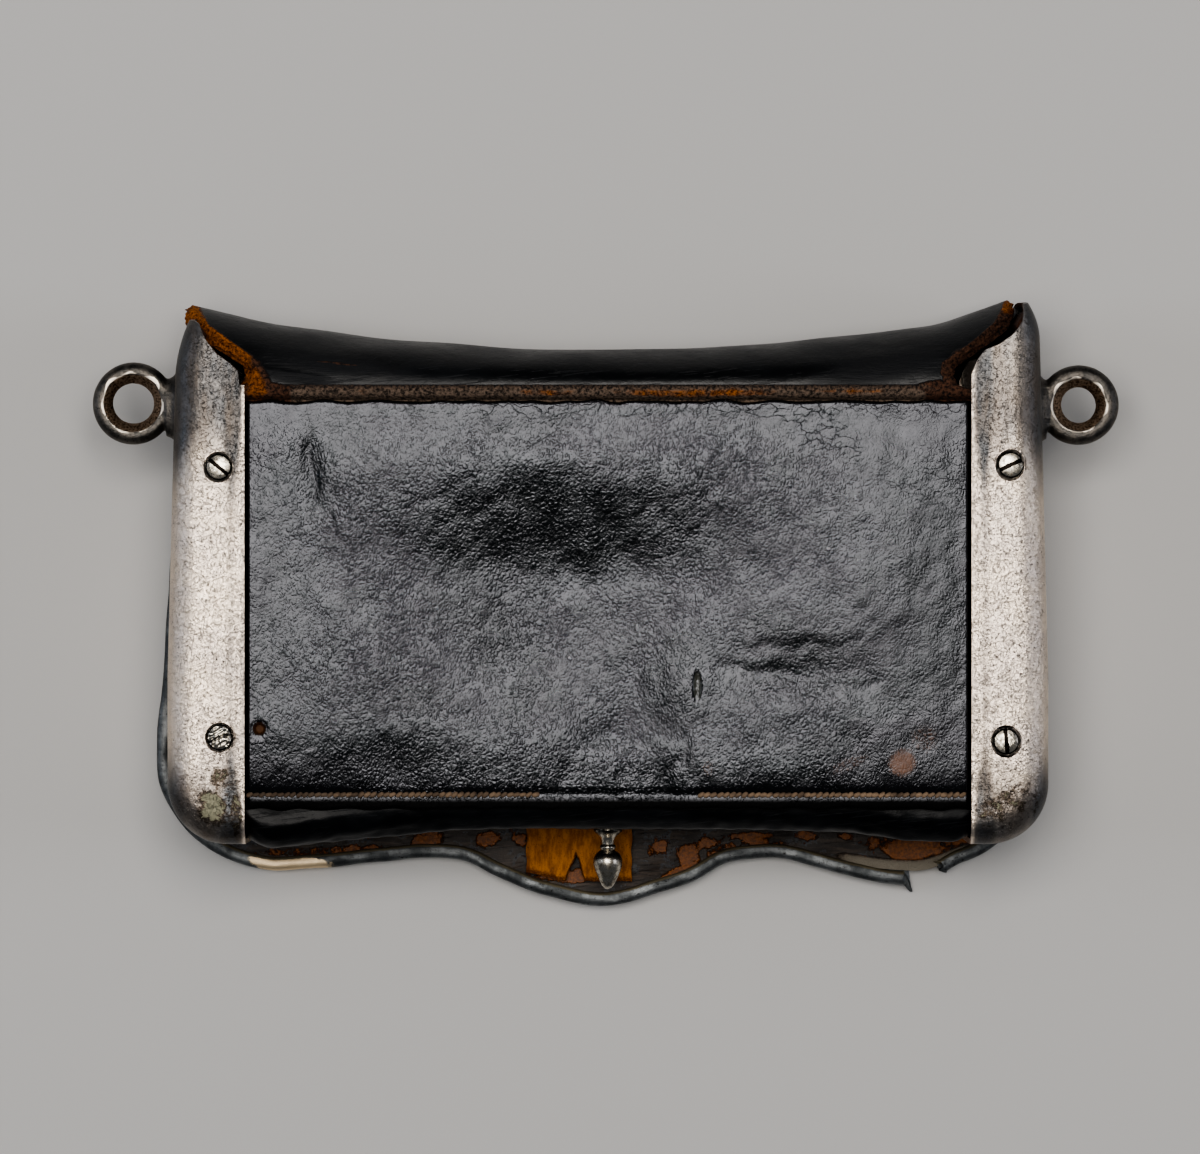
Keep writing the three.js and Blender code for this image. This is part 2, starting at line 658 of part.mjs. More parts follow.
const box = new THREE.Group();
box.add(piece("back_panel", backPanel(), BLACK_GRAINED));
box.add(piece("box_shell", boxShell(), BLACK_SMOOTH));

const knob = piece("closure_knob", closureKnob(), DARK_STEEL);
knob.position.set(0, BOTTOM_Y, KNOB_DEPTH);
box.add(knob);

for (const side of SIDES) {
  const end = new THREE.Group();
  end.add(piece(`end_wall_${side.name}`, endWall(side), BROWN_LEATHER));
  end.add(piece(`side_plate_${side.name}`, sidePlate(side), SILVERED));
  box.add(end);
}

for (const screw of SCREWS) {
  const mesh = piece(screw.name, screwBody(screw), DARK_STEEL);
  mesh.position.set(screw.x, screw.y, PLATE_BACK);
  mesh.rotation.z = degToRad(screw.slot_angle);
  box.add(mesh);
}

const cover = new THREE.Group();
cover.add(piece("flap", flap(), BLACK_SMOOTH));
cover.add(piece("flap_rim", flapRim(), RIM_SILVER));
cover.add(piece("flap_rim_right", flapRimRight(), RIM_SILVER));

const tab = piece("closing_tab", closingTab(), TAN_LEATHER);
tab.position.z = FLAP_INSIDE + GAP;
cover.add(tab);

// The assembly stands with its box centred over the origin and its lowest face at Z = 0.
const assembly = new THREE.Group();
assembly.add(box, cover);
const bounds = new THREE.Box3().setFromObject(assembly, true);
const middle = bounds.getCenter(new THREE.Vector3());
assembly.position.set(-middle.x, -middle.y, -bounds.min.z);

const pouch = new THREE.Group();
pouch.add(assembly);

export default pouch;
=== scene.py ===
# %% [markdown]
# # A cavalry officer's cartridge pouch
#
# The pouch lies face down on its closed flap, so what we see is its back: a panel of black grained
# leather between two silvered metal ends, each with a cast carrying ring, the leather roll of the flap
# above, and below it the sewn bottom, the knob, and the inside of the flap in its metal rim.
#
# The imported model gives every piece's place and size. Each piece is then made again here as a finer
# surface over its plain solid, because cracks, dents, stitches and raw edges are what makes old leather
# look like old leather.

import bmesh
import bpy
import numpy as np
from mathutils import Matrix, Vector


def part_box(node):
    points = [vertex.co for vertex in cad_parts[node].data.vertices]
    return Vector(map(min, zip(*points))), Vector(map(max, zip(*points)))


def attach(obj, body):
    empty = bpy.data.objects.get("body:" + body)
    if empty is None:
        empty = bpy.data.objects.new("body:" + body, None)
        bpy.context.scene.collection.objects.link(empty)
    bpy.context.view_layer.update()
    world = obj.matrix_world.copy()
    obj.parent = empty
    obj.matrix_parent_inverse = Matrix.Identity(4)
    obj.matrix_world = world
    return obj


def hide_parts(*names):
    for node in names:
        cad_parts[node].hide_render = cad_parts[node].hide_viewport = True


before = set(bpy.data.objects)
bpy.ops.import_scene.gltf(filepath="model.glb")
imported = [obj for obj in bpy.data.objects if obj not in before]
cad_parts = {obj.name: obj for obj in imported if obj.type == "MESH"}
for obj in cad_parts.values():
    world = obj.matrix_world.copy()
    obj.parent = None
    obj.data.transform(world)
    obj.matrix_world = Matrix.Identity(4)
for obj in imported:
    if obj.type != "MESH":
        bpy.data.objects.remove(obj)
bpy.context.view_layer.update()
print("packed nodes:", sorted(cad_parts))

# %% [markdown]
# ## Millimetres and the pouch's own middle
#
# Leather and sheet metal are measured in millimetres, and Blender works in metres. Every shape below is
# worked out in millimetres from the middle between the metal ends, and one step at the end of each piece
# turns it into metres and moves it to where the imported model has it. The back panel tells us how far.

# %% Scale and place
MM = 0.001
PANEL_HALF_LENGTH = 74.6
PANEL_LOW, PANEL_HIGH = -36.9, 36.8
PANEL_TOP = 36.5

panel_box = np.array(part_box("back_panel")) / MM
SHIFT = np.array([panel_box[0][0] + PANEL_HALF_LENGTH, panel_box[0][1] - PANEL_LOW, 0.0])
print("the pouch's own middle lies at", np.round(SHIFT, 3), "mm")

# %% [markdown]
# ## Camera
#
# The back is seen from straight above. A long lens from 0.9 m keeps the shape nearly free of
# perspective, as in a catalogue picture, so the rings and the rim look as far out as they are.

# %% Camera straight above the back
CAMERA_HEIGHT = 900.0  # over the back panel
LOOKS_AT = np.array([-1.44, 5.05])  # on the panel, from the pouch's own middle

camera_data = bpy.data.cameras.new("camera")
camera_data.lens = 150
camera_data.sensor_width = 36
camera_data.clip_start = 0.05
camera = bpy.data.objects.new("camera", camera_data)
camera.location = (*((LOOKS_AT + SHIFT[:2]) * MM), (PANEL_TOP + CAMERA_HEIGHT) * MM)
bpy.context.scene.collection.objects.link(camera)
bpy.context.scene.camera = camera
print("camera at", [round(c, 4) for c in camera.location])

# %% [markdown]
# ## Colours and nodes
#
# Colours are written as the eye sees them, in hex, and turned to linear light once. A single small
# function adds a shader node with its settings and links, so that a finish reads as a list of layers.
# Four nodes do most of the work. Math puts values together. MapRange stretches a value so that low to
# high becomes 0 to 1, or the two last numbers. Mix turns its first colour into its second where its
# factor is 1, and these three inputs are its numbers 6, 7 and 0. Attribute reads a value kept per point.


# %% Helpers for colours and nodes
SOFT = {"interpolation_type": "SMOOTHSTEP"}  # a MapRange with soft ends
COLOURS = {"data_type": "RGBA", "output": 2}  # a Mix of two colours
FACTOR = 2  # which output of an Attribute is its single value
METALLIC = {"Metallic": 1.0}


def colour(hex_value):
    """An sRGB hex value as a linear colour: each channel is scaled to 0..1 and its gamma taken off."""
    channels = np.array([(hex_value >> shift) & 255 for shift in (16, 8, 0)]) / 255
    linear = np.where(channels <= 0.04045, channels / 12.92, ((channels + 0.055) / 1.055) ** 2.4)
    return (*linear, 1.0)


def add(tree, kind, inputs=(), output=0, **settings):
    """Adds a shader node and returns one of its outputs.

    Inputs are numbers, colours or other nodes' outputs, by name or number, or in the node's own order.
    """
    made = tree.nodes.new("ShaderNode" + kind)
    for name, value in settings.items():
        setattr(made, name, value)
    by_key = inputs if isinstance(inputs, dict) else dict(enumerate(inputs))
    for key, value in by_key.items():
        socket = made.inputs[key]
        if isinstance(value, bpy.types.NodeSocket):
            tree.links.new(value, socket)
        else:
            socket.default_value = value
    return made.outputs[output]


def new_material(name):
    """An empty material, and its node tree with nothing in it but the output."""
    material = bpy.data.materials.new(name)
    material.use_nodes = True
    tree = material.node_tree
    tree.nodes.clear()
    return material, tree


def finish_with(tree, shader):
    """Joins a shader to the material's output."""
    output = tree.nodes.new("ShaderNodeOutputMaterial")
    tree.links.new(shader, output.inputs["Surface"])


def millimetres(tree):
    """The place on the object in millimetres from the pouch's own middle."""
    place = add(tree, "TexCoord", output="Object")
    return add(tree, "Mapping", {"Vector": place, "Location": tuple(-SHIFT), "Scale": (1000, 1000, 1000)})


def surface(tree, face, roughness, height, strength, depth, more=None):
    """The shader of a finish: a colour and a roughness over a relief that is `depth` millimetres deep."""
    bump = add(tree, "Bump", {"Height": height, "Strength": strength, "Distance": depth * MM})
    inputs = {"Base Color": face, "Roughness": roughness, "Normal": bump}
    return add(tree, "BsdfPrincipled", {**inputs, **(more or {})})


# %% [markdown]
# ## Grids of points
#
# A leather sheet is a grid: one parameter runs along it, the other across. Two grids that face each
# other make a wall with a real thickness once their four edges are closed. Working on whole arrays keeps
# a hundred thousand points quick.


# %% Helpers for surfaces
def smoothstep(value, low, high):
    """0 below low, 1 above high, and an S-shaped curve between."""
    t = np.clip((value - low) / (high - low), 0, 1)
    return t * t * (3 - 2 * t)


def waves(x, y, pitch, seed):
    """Smooth random ripples: a sum of ten sine waves with random directions and about one pitch."""
    chance = np.random.default_rng(seed)
    turn = chance.uniform(0, 2 * np.pi, 10)
    count = 2 * np.pi / (pitch * chance.uniform(0.7, 1.5, 10))
    phase = chance.uniform(0, 2 * np.pi, 10)
    x, y = np.asarray(x)[..., None], np.asarray(y)[..., None]
    along = x * np.cos(turn) + y * np.sin(turn)
    return np.sin(along * count + phase).sum(-1) / 3.2


def stack(x, y, z):
    """Three arrays of coordinates joined into points."""
    return np.stack(np.broadcast_arrays(x, y, z), -1).astype(float)


def cells(numbers):
    """The quads between neighbours in a grid of point numbers."""
    corners = [numbers[:-1, :-1], numbers[:-1, 1:], numbers[1:, 1:], numbers[1:, :-1]]
    return np.stack(corners, -1).reshape(-1, 4)


def wall(over, under):
    """Points and quads of the closed wall between two grids: both sheets and a strip on each edge."""
    rows, columns = over.shape[:2]
    o = np.arange(rows * columns).reshape(rows, columns)
    u = o + rows * columns
    strips = [
        [o[:-1, 0], o[1:, 0], u[1:, 0], u[:-1, 0]],
        [o[:-1, -1], u[:-1, -1], u[1:, -1], o[1:, -1]],
        [o[0, :-1], u[0, :-1], u[0, 1:], o[0, 1:]],
        [o[-1, :-1], o[-1, 1:], u[-1, 1:], u[-1, :-1]],
    ]
    quads = [cells(o), cells(u)[:, ::-1]] + [np.stack(strip, -1) for strip in strips]
    return np.concatenate([over.reshape(-1, 3), under.reshape(-1, 3)]), np.concatenate(quads)


def loft(rings):
    """Points and quads of a tube through a row of rings, with a fan of quads closed over each end."""
    rows, size = rings.shape[:2]
    middles = rings[[0, -1]].mean(1, keepdims=True).repeat(size, 1)
    points = np.concatenate([middles[:1], rings, middles[1:]])
    o = np.arange(points.shape[0] * size).reshape(-1, size)
    return points.reshape(-1, 3), cells(np.concatenate([o, o[:, :1]], 1))


def join(parts):
    """Several sets of points and quads as one."""
    points, quads, start = [], [], 0
    for some_points, some_quads in parts:
        points.append(some_points)
        quads.append(some_quads + start)
        start += len(some_points)
    return np.concatenate(points), np.concatenate(quads)


def make_mesh(name, points, quads, values=None):
    """A mesh in metres with doubled points merged and its faces outwards, and values kept per point."""
    mesh = bpy.data.meshes.new(name)
    mesh.from_pydata(((points + SHIFT) * MM).tolist(), [], quads.tolist())
    for key, value in (values or {}).items():
        layer = mesh.attributes.new(key, "FLOAT", "POINT")
        layer.data.foreach_set("value", np.asarray(value, dtype=np.float32).ravel())
    work = bmesh.new()
    work.from_mesh(mesh)
    bmesh.ops.remove_doubles(work, verts=work.verts, dist=1e-6)
    bmesh.ops.dissolve_degenerate(work, edges=work.edges, dist=1e-7)
    bmesh.ops.recalc_face_normals(work, faces=work.faces)
    work.to_mesh(mesh)
    work.free()
    return mesh


def add_piece(name, mesh, material, nodes, crisp=40):
    """A finished piece of the pouch, smooth but for edges sharper than `crisp` degrees."""
    piece = bpy.data.objects.new(name, mesh)
    bpy.context.scene.collection.objects.link(piece)
    mesh.materials.append(material)
    mesh.shade_smooth()
    mesh.set_sharp_from_angle(angle=np.radians(crisp))
    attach(piece, "root")
    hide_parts(*nodes)
    print(name, len(mesh.vertices), "points")
    return piece


# %% [markdown]
# ## Light and floor
#
# Old polished leather is nearly black in itself. What the eye reads is the reflection of a broad soft
# light: flat leather mirrors it as a grey sheen, and every dent turns away from it and goes dark. The
# light hangs over the far half of the pouch, so that leather which tilts towards us misses it sooner.
# A weaker light at each side draws the rounded metal edges. The room is dim, and the picture is
# developed with high contrast, as product pictures of dark leather are.

# %% Floor and soft lights
FLOOR_SIZE = 4000.0

floor_corners = np.array([[-1, -1], [1, -1], [1, 1], [-1, 1]]) * FLOOR_SIZE / 2
floor_mesh = bpy.data.meshes.new("floor")
floor_mesh.from_pydata([(x * MM, y * MM, 0.0) for x, y in floor_corners], [], [(0, 1, 2, 3)])
floor = bpy.data.objects.new("floor", floor_mesh)
bpy.context.scene.collection.objects.link(floor)

pale_paper, tree = new_material("pale_studio_paper")
paper = add(tree, "BsdfPrincipled", {"Base Color": colour(0xCFCECC), "Roughness": 0.9})
finish_with(tree, paper)
floor_mesh.materials.append(pale_paper)

# Each light: name, watts, size across X and Y in metres, place in metres, and the tint.
LIGHTS = [
    ("overhead", 10.0, (0.80, 0.64), (-0.06, 0.19, 1.35), 0xFFFAF4),
    ("left_side", 2.6, (0.5, 0.9), (-1.3, 0.15, 0.65), 0xEAF1FF),
    ("right_side", 2.6, (0.5, 0.9), (1.3, 0.05, 0.65), 0xF2F5FF),
]

for name, watts, size, place, tint in LIGHTS:
    light = bpy.data.lights.new(name, "AREA")
    light.shape = "RECTANGLE"
    light.size, light.size_y = size
    light.energy = watts
    light.color = colour(tint)[:3]
    lamp = bpy.data.objects.new(name, light)
    lamp.location = place
    aim = -lamp.location
    lamp.rotation_euler = aim.to_track_quat("-Z", "Y").to_euler()
    bpy.context.scene.collection.objects.link(lamp)

world = bpy.data.worlds.new("dim_room")
world.use_nodes = True
world.node_tree.nodes["Background"].inputs["Color"].default_value = colour(0x8E9298)
world.node_tree.nodes["Background"].inputs["Strength"].default_value = 0.3
bpy.context.scene.world = world
bpy.context.scene.view_settings.look = "AgX - High Contrast"

# %% [markdown]
# ## The numbers of the pouch
#
# These are the maker's sizes that more than one piece needs: how thick the sheets are, how deep in the
# pouch each lies, and how the metal ends taper and round off.

# %% Shared sizes in millimetres
GAP = 0.3
METAL = 1.0
BOX_LEATHER = 2.2
FLAP_LEATHER = 2.6
END_LEATHER = 2.6
END_STANDS = 0.4  # how far the end walls stand over the plates
RIM_METAL = 0.8

FLAP_FACE = RIM_METAL + GAP
FLAP_INSIDE = FLAP_FACE + FLAP_LEATHER
PLATE_FRONT, PLATE_BACK = 5.2, 37.8
MIDDLE_DEPTH = (PLATE_FRONT + PLATE_BACK) / 2
SHELL_FRONT = PLATE_FRONT + METAL + GAP
LIP_TOP = PANEL_TOP - BOX_LEATHER - GAP

PLATE_INNER, PLATE_END = 65.4, 79.55
TAPER_FROM, PLATE_TAPER = -13.0, 0.0254
PLATE_BOTTOM = -43.2
CORNER_RADIUS = 11.0
ROUNDING_WIDE, ROUNDING_DEEP = 5.4, 4.5
PARED_WIDE = 6.5
PLATE_ARCH = 1.0

FLAP_MIDDLE = -1.5
HINGE_Y = 39.6
ROLL_MIDDLE = (PANEL_TOP + FLAP_FACE) / 2
ROLL_DEPTH = (PANEL_TOP - FLAP_FACE) / 2
CREST_MIDDLE, CREST_BOW = 46.75, 0.00125
HORN_LEFT, HORN_RIGHT = 0.9, 2.6
CUT_STEPS = 12  # how often a top edge is corrected until it meets its outline


def lean(y):
    """How far a plate's end has come in at a height: nothing up to the taper, then in proportion."""
    return PLATE_TAPER * np.maximum(0, y - TAPER_FROM)


# %% [markdown]
# ## Back panel
#
# The back panel is one flat piece of vegetable-tanned hide, grained and blacked. It bellies out a
# little and has sunk in a broad hollow over its middle; near the metal ends it bends down under them.
# Sculpting would also do, but a height worked out for every point of a grid can start from the packed
# solid's face, and take the hollow, the dents, the finer wrinkles and the gouge away from it exactly.

# %% Shape of the back panel
# Soft dents: x, y, half width, half height, depth. A negative depth is a rise.
DENTS = [
    (-11, 27.5, 17, 5, -0.25),
    (-3.5, 13, 3, 12, -0.12),
    (2.5, -33, 10.5, 20, 1.35),
    (-38, -31, 16, 10, 0.55),
    (14, -13, 5, 9, -0.35),
    (35, -12, 12, 5, 0.45),
    (-53.6, 26, 3, 10, 0.4),
    (-40, -8, 14, 12, -0.2),
    (50, 8, 13, 18, -0.3),
]

# Finer wrinkles and creases: x, y, half length, half width, direction in degrees, depth.
CREASES = [
    (34.0, -7.5, 10.0, 1.3, 3, 0.15),
    (28.0, -12.0, 7.5, 1.3, -8, 0.18),
    (33.5, -16.0, 8.0, 1.2, 4, 0.15),
    (45.0, -14.6, 5.0, 1.0, 8, 0.10),
    (-53.4, 24.5, 7.5, 0.8, 98, 0.20),
    (-50.0, 15.0, 5.0, 0.7, 120, 0.16),
    (2.0, -33.0, 4.5, 0.9, 72, 0.14),
    (-3.0, -31.0, 5.5, 0.8, 95, 0.12),
    (12.0, -29.0, 6.0, 0.9, 60, 0.12),
    (-30.0, 20.0, 8.0, 1.0, 30, 0.07),
    (56.0, 3.0, 9.0, 0.8, 70, 0.05),
]

# The broad hollow: its middle, its half width, its depth, and the heights between which it falls off
# steeply above and rises gently below.
HOLLOW = {"x": -9.0, "half_wide": 36.0, "depth": 2.7, "steep": (27.5, 3.0), "gentle": (-2.0, -46.0)}

GOUGE = {"x": 16.1, "y": -14.6, "half_long": 3.2, "half_wide": 1.0, "depth": 0.30}
PANEL_HOLE = {"x": -62.8, "y": -22.3, "radius": 1.0}
LIP_END, ROOT_START = -30.0, 30.0
PANEL_BELLY = 0.5
SEAM_Y = -34.2


def panel_height(x, y):
    """The plane of the panel, plus its belly, less its dents and hollow, rolled down towards the seam.

    A dent is a bell: its depth times e to the power of -1.4 times the squared distance in half widths.
    The hollow is a bell along the panel, times its steep fall from above and its gentle rise below.
    """
    belly = PANEL_BELLY * np.maximum(0, 1 - (x / PLATE_INNER) ** 2) * np.maximum(0, 1 - (y / 36) ** 2)
    dips = sum(
        depth * np.exp(-1.4 * (((x - at_x) / wide) ** 2 + ((y - at_y) / high) ** 2))
        for at_x, at_y, wide, high, depth in DENTS
    )
    down, up = HOLLOW["steep"], HOLLOW["gentle"]
    profile = (1 - smoothstep(y, down[1], down[0])) * smoothstep(y, up[1], up[0])
    hollow = HOLLOW["depth"] * profile * np.exp(-1.2 * ((x - HOLLOW["x"]) / HOLLOW["half_wide"]) ** 2)
    clear = 1 - smoothstep(np.abs(x), PLATE_INNER - 6, PLATE_INNER - 0.5)
    clear_root = 1 - smoothstep(y, 26, ROOT_START + 3)
    rolled = 0.9 * (np.maximum(0, -21.5 - 4 * smoothstep(x, -5, 20) - y) / 12.5) ** 2
    floor = -1.45 - 1.6 * smoothstep(y, -28, -16)
    return PANEL_TOP + np.maximum((belly - dips - hollow) * clear * clear_root - rolled, floor)


def along_and_across(x, y, at_x, at_y, direction):
    """How far points lie along and across a line through one place, at a direction in degrees."""
    turn = np.radians(direction)
    along = (x - at_x) * np.cos(turn) + (y - at_y) * np.sin(turn)
    across = (y - at_y) * np.cos(turn) - (x - at_x) * np.sin(turn)
    return along, across


def creased(x, y):
    """How deep the creases are: for each, a narrow bell across its line that fades out along it."""
    total = np.zeros(np.broadcast(x, y).shape)
    for at_x, at_y, half_long, half_wide, direction, depth in CREASES:
        along, across = along_and_across(x, y, at_x, at_y, direction)
        across = across + 0.5 * np.sin(along * 0.8 + at_x)
        total += depth * np.exp(-((across / half_wide) ** 2) - (along / half_long) ** 4)
    return total


def pared(x, y):
    """How far the panel's edge is thinned to follow the rounding of the plates over it."""
    wide, deep = PARED_WIDE - METAL - GAP, ROUNDING_DEEP - METAL - GAP
    past = np.maximum(0, np.abs(x) + lean(y) - PLATE_END + CORNER_RADIUS)
    under = np.maximum(0, PLATE_BOTTOM + CORNER_RADIUS - y)
    from_edge = CORNER_RADIUS - METAL - GAP - np.hypot(past, under)
    over = np.clip((wide - from_edge) / wide, 0, 0.999)
    return deep * (1 - np.sqrt(1 - over * over))


def bunched(low, high, count, places, reach, strength):
    """Grid lines from low to high that crowd together around some places."""
    fine = np.linspace(low, high, 4000)
    density = 1 + sum(strength * np.exp(-(((fine - place) / reach) ** 2)) for place in places)
    total = np.concatenate([[0], np.cumsum((density[1:] + density[:-1]) / 2)])
    return np.interp(np.linspace(0, total[-1], count), total, fine)


panel_x = bunched(-PANEL_HALF_LENGTH, PANEL_HALF_LENGTH, 300, [PANEL_HOLE["x"], 16.0, -65, 65], 2.2, 3.0)
panel_y = bunched(
    PANEL_LOW, PANEL_HIGH, 150, [PANEL_HOLE["y"], -14.2, PANEL_LOW, SEAM_Y, PANEL_HIGH], 1.8, 1.6
)
X, Y = np.meshgrid(panel_x, panel_y)

fine_relief = 0.045 * waves(X, Y, 9.0, 3) + 0.02 * waves(X, Y, 3.4, 4)
inside = 1 - smoothstep(np.abs(X), 64.2, 65.6)
bend_down = 0.8 * smoothstep(np.abs(X), 64.5, 65.4)
sewn_down = 0.22 * np.exp(-(((Y - SEAM_Y) / 0.9) ** 2))
gouge_far = np.hypot((X - GOUGE["x"]) / GOUGE["half_wide"], (Y - GOUGE["y"]) / GOUGE["half_long"])
gouge_cut = GOUGE["depth"] * (1 - smoothstep(gouge_far, 0.3, 1.05))
hole_far = np.hypot(X - PANEL_HOLE["x"], Y - PANEL_HOLE["y"]) / PANEL_HOLE["radius"]
hole_cut = 2.0 * (1 - smoothstep(hole_far, 0.75, 1.1)) + 0.1 * np.exp(-(((hole_far - 1.3) / 0.35) ** 2))

edge_away = np.minimum(Y - PANEL_LOW, PANEL_HIGH - Y)
rolled_edge = 0.5 * (1 - np.sqrt(np.clip(1 - np.clip(1 - edge_away / 0.7, 0, 1) ** 2, 0, 1)))
lifted = (fine_relief - creased(X, Y) - sewn_down - gouge_cut - hole_cut) * inside - bend_down
under = PANEL_TOP - BOX_LEATHER + np.minimum(0, panel_height(X, Y) - PANEL_TOP) * smoothstep(
    Y, LIP_END - 1, -22
)
top = np.maximum(panel_height(X, Y) + lifted - rolled_edge - pared(X, Y), under + 0.2)
ragged = 0.18 * waves(X, Y, 6.0, 8) * np.exp(-(edge_away / 1.0) ** 2) * inside
panel_points, panel_quads = wall(stack(X, Y + ragged, top), stack(X, Y + ragged, under))
print("deepest point of the panel:", round(float(PANEL_TOP - top[:, 60:-60].min()), 2), "mm down")

# %% [markdown]
# ## Black grained leather
#
# Bridle and pouch leather is dyed right through in a dark brown and then blacked and waxed on its grain
# side. The grain is a net of fine short furrows, here under a millimetre apart. A voronoi pattern gives
# such a net, and pushing its coordinates about with noise first makes the furrows short and wormlike.
# Where the wax has dulled the sheen is broad and grey, and where the blacking has worn off, tan leather
# shows. Those places belong to this hide, so they are worked out per point and handed to the finish.

# %% Worn places of the back panel
# Bare places: x, y, half length, half height, direction in degrees, strength.
BARE_PLACES = [
    (53.0, -28.4, 3.0, 2.8, 35, 0.80),
    (57.0, -24.0, 3.4, 3.6, 25, 0.42),
    (43.5, -28.6, 5.2, 1.6, 22, 0.42),
    (50.5, -22.5, 5.0, 2.2, 15, 0.22),
    (18.0, -29.5, 1.3, 1.9, 0, 0.42),
    (-30.0, -33.0, 3.0, 0.8, 4, 0.15),
]


def patches(x, y, table):
    """The strongest of some soft ellipses at each point: 1 or more in the middle, fading outwards."""
    total = np.zeros(np.broadcast(x, y).shape)
    for at_x, at_y, half_long, half_high, direction, strength in table:
        along, across = along_and_across(x, y, at_x, at_y, direction)
        far = np.hypot(along / half_long, across / half_high)
        total = np.maximum(total, strength * (1 - smoothstep(far, 0.45, 1.35)))
    return total


bare = patches(X, Y, BARE_PLACES)
top_crackle = smoothstep(Y, 32.0, 36.6) * smoothstep(X, -48, -25) + 0.8 * patches(
    X, Y, [(38, 31, 9, 5, -40, 1), (62, 22, 5, 16, 90, 0.6)]
)
polish = patches(X, Y, [(-9, 15, 34, 14, 0, 1), (-10, -33, 60, 9, 0, 1)])
cut_edge = 1 - smoothstep(edge_away, 0.15, 0.75)
grain_here = 0.9 - 0.35 * smoothstep(X, 28, 52) - 0.2 * smoothstep(-X, 46, 60) - 0.35 * smoothstep(Y, 27, 35)
grain_here = np.maximum(grain_here, 0.3)
hole_brown = 1 - smoothstep(hole_far, 0.95, 1.2)
gouge_fill = 1 - smoothstep(gouge_far, 0.55, 0.95)


def on_top(values):
    """Values for the panel's face, and the same number of zeros for its underside."""
    return np.concatenate([values.ravel(), np.zeros(values.size)])


panel_values = {
    "bare": on_top(bare),
    "crackle": on_top(top_crackle),
    "edge": on_top(cut_edge),
    "polish": on_top(polish),
    "hole": on_top(hole_brown),
    "gouge": on_top(gouge_fill),
    "grain": on_top(grain_here),
    # Along the rolled bottom edge the finish turns to a painted shade: a nearly black, dull shader.
    "low": on_top(smoothstep(-Y, 34.4, 35.6)),
}
panel_mesh = make_mesh("back_panel_hide", panel_points, panel_quads, panel_values)

# %% Black grained leather
GRAIN_PITCH = 0.80


def stretched(tree, place, direction, scale):
    """Coordinates turned by a direction and stretched, so that noise in them is drawn out into lines."""
    turned_place = add(tree, "Mapping", {"Vector": place, "Rotation": (0, 0, -direction)})
    return add(tree, "Mapping", {"Vector": turned_place, "Scale": scale})


def scratches_of(tree, place, direction, length, fineness, threshold):
    """Thin straight scratches along one direction: the crests of a noise that is drawn out along it."""
    lines = add(
        tree,
        "TexNoise",
        {
            "Vector": stretched(tree, place, direction, (1 / length, fineness, 1.0)),
            "Scale": 1.0,
            "Detail": 2.0,
            "Roughness": 0.6,
        },
    )
    return add(tree, "MapRange", (lines, threshold, threshold + 0.05), **SOFT)


black_grained, tree = new_material("black_grained_leather_waxed")
place = millimetres(tree)
bare_value = add(tree, "Attribute", attribute_name="bare", output=FACTOR)
crackle_value = add(tree, "Attribute", attribute_name="crackle", output=FACTOR)

push = add(tree, "TexNoise", {"Vector": place, "Scale": 0.55 / GRAIN_PITCH, "Detail": 2.0}, output="Color")
push = add(tree, "VectorMath", {0: push, 1: (0.5, 0.5, 0.5)}, operation="SUBTRACT")
push = add(tree, "VectorMath", {0: push, "Scale": 1.7 * GRAIN_PITCH}, operation="SCALE")
pushed = add(tree, "VectorMath", {0: place, 1: push}, operation="ADD")
net_place = add(tree, "Mapping", {"Vector": pushed, "Rotation": (0, 0, 0.9), "Scale": (1.25, 0.8, 1)})
net_inputs = {"Vector": net_place, "Scale": 1 / GRAIN_PITCH, "Randomness": 1.0}
net = add(tree, "TexVoronoi", net_inputs, feature="DISTANCE_TO_EDGE")
furrows = add(tree, "MapRange", (net, 0.0, 0.36), **SOFT)
fine = add(tree, "TexNoise", {"Vector": place, "Scale": 2.6, "Detail": 4.0, "Roughness": 0.6})
broad = add(tree, "TexNoise", {"Vector": place, "Scale": 0.045, "Detail": 4.0, "Roughness": 0.6})
middling = add(tree, "TexNoise", {"Vector": place, "Scale": 0.22, "Detail": 5.0, "Roughness": 0.65})

crack_push = add(tree, "TexNoise", {"Vector": place, "Scale": 0.35, "Detail": 3.0}, output="Color")
crack_push = add(tree, "VectorMath", {0: crack_push, "Scale": 3.2}, operation="SCALE")
crack_place = add(tree, "VectorMath", {0: place, 1: crack_push}, operation="ADD")
crack_place = add(tree, "Mapping", {"Vector": crack_place, "Scale": (0.30, 0.62, 1.0)})
crack_net = add(tree, "TexVoronoi", {"Vector": crack_place, "Scale": 0.8}, feature="DISTANCE_TO_EDGE")
cracks = add(tree, "MapRange", (crack_net, 0.0, 0.04, 1.0, 0.0), **SOFT)
cracks = add(
    tree, "Math", (cracks, add(tree, "MapRange", (middling, 0.40, 0.58), **SOFT)), operation="MULTIPLY"
)
cracks = add(tree, "Math", (cracks, crackle_value), operation="MULTIPLY")

scratches = scratches_of(tree, place, 0.55, 9.0, 3.2, 0.70)
scratches = add(
    tree, "Math", (scratches, scratches_of(tree, place, -0.25, 14.0, 2.6, 0.71)), operation="MAXIMUM"
)
scratches = add(
    tree, "Math", (scratches, scratches_of(tree, place, 1.35, 7.0, 3.4, 0.71)), operation="MAXIMUM"
)
scratches = add(
    tree, "Math", (scratches, add(tree, "MapRange", (broad, 0.42, 0.6), **SOFT)), operation="MULTIPLY"
)

bare_edge = add(tree, "Math", (fine, 0.55, bare_value), operation="MULTIPLY_ADD")
bare_edge = add(tree, "Math", (furrows, 0.18, bare_edge), operation="MULTIPLY_ADD")
bare_mask = add(tree, "MapRange", (bare_edge, 0.62, 1.25), **SOFT)

